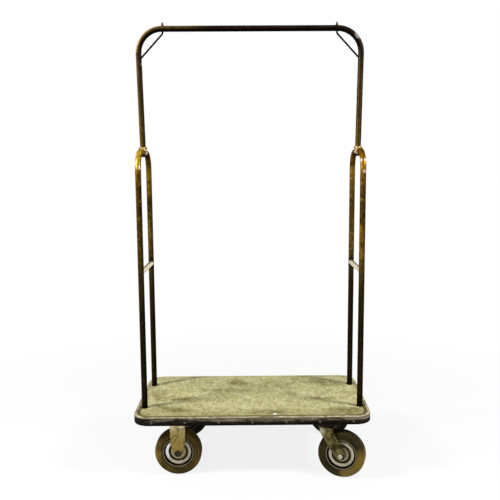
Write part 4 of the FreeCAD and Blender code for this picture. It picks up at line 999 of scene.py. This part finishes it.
def make_floor():
    """A pale floor that keeps the shadow and fades to white further out."""
    mesh = bpy.data.meshes.new("floor")
    corners = [(x * FLOOR_HALF, y * FLOOR_HALF, 0) for x, y in ((-1, -1), (1, -1), (1, 1), (-1, 1))]
    mesh.from_pydata(corners, [], [(0, 1, 2, 3)])
    floor = bpy.data.objects.new("floor", mesh)
    floor.location.z = -FLOOR_DROP
    bpy.context.scene.collection.objects.link(floor)
    material = bpy.data.materials.new("floor_white")
    material.use_nodes = True
    tree = material.node_tree
    tree.nodes.remove(tree.nodes["Principled BSDF"])
    matt = tree.nodes.new("ShaderNodeBsdfDiffuse")
    matt.inputs["Color"].default_value = (FLOOR_TONE, FLOOR_TONE, FLOOR_TONE, 1.0)
    glow = tree.nodes.new("ShaderNodeEmission")
    distance = tree.nodes.new("ShaderNodeVectorMath")
    distance.operation = "LENGTH"
    tree.links.new(tree.nodes.new("ShaderNodeNewGeometry").outputs["Position"], distance.inputs[0])
    fade = tree.nodes.new("ShaderNodeMapRange")
    fade.interpolation_type = "SMOOTHSTEP"
    fade.inputs["From Min"].default_value = FADE_START
    fade.inputs["From Max"].default_value = FADE_END
    fade.inputs["To Min"].default_value = FADE_LEAST
    fade.inputs["To Max"].default_value = 1.0
    tree.links.new(distance.outputs["Value"], fade.inputs["Value"])
    share = tree.nodes.new("ShaderNodeMath")
    share.operation = "MULTIPLY"
    tree.links.new(fade.outputs["Result"], share.inputs[1])
    tree.links.new(seen_directly(tree), share.inputs[0])
    blend = tree.nodes.new("ShaderNodeMixShader")
    tree.links.new(share.outputs[0], blend.inputs[0])
    tree.links.new(matt.outputs[0], blend.inputs[1])
    tree.links.new(glow.outputs[0], blend.inputs[2])
    tree.links.new(blend.outputs[0], tree.nodes["Material Output"].inputs["Surface"])
    mesh.materials.append(material)


def make_lamp(name, side, power):
    """A square lamp at the left (side -1) or right (side 1) of the camera."""
    place = Vector((side * LAMP_PLACE[0], *LAMP_PLACE[1:]))
    light = bpy.data.lights.new(name, "AREA")
    light.shape = "SQUARE"
    light.size = LAMP_SIZE
    light.energy = power
    lamp = bpy.data.objects.new(name, light)
    lamp.location = place
    lamp.rotation_euler = (Vector(LAMP_TARGET) - place).to_track_quat("-Z", "Y").to_euler()
    bpy.context.scene.collection.objects.link(lamp)


def make_camera():
    """The fitted camera, with its picture shifted to the photograph's framing."""
    data = bpy.data.cameras.new("camera")
    data.sensor_width = SENSOR_MM
    data.lens = FOCAL_PIXELS / IMAGE_PIXELS * SENSOR_MM
    data.shift_x = (IMAGE_PIXELS / 2 - CENTRE_PIXEL[0]) / IMAGE_PIXELS
    data.shift_y = (CENTRE_PIXEL[1] - IMAGE_PIXELS / 2) / IMAGE_PIXELS
    camera = bpy.data.objects.new("camera", data)
    turn = Matrix.Rotation(YAW, 4, "Z") @ Matrix.Rotation(math.pi / 2 - PITCH, 4, "X")
    camera.matrix_world = Matrix.Translation(EYE) @ turn @ Matrix.Rotation(ROLL, 4, "Z")
    bpy.context.scene.collection.objects.link(camera)
    bpy.context.scene.camera = camera


make_carpet()
dress_frame()
dress_casters()
make_world()
make_floor()
make_lamp("left_lamp", -1, LEFT_POWER)
make_lamp("right_lamp", 1, RIGHT_POWER)
make_camera()
bpy.context.scene.view_settings.view_transform = "Standard"
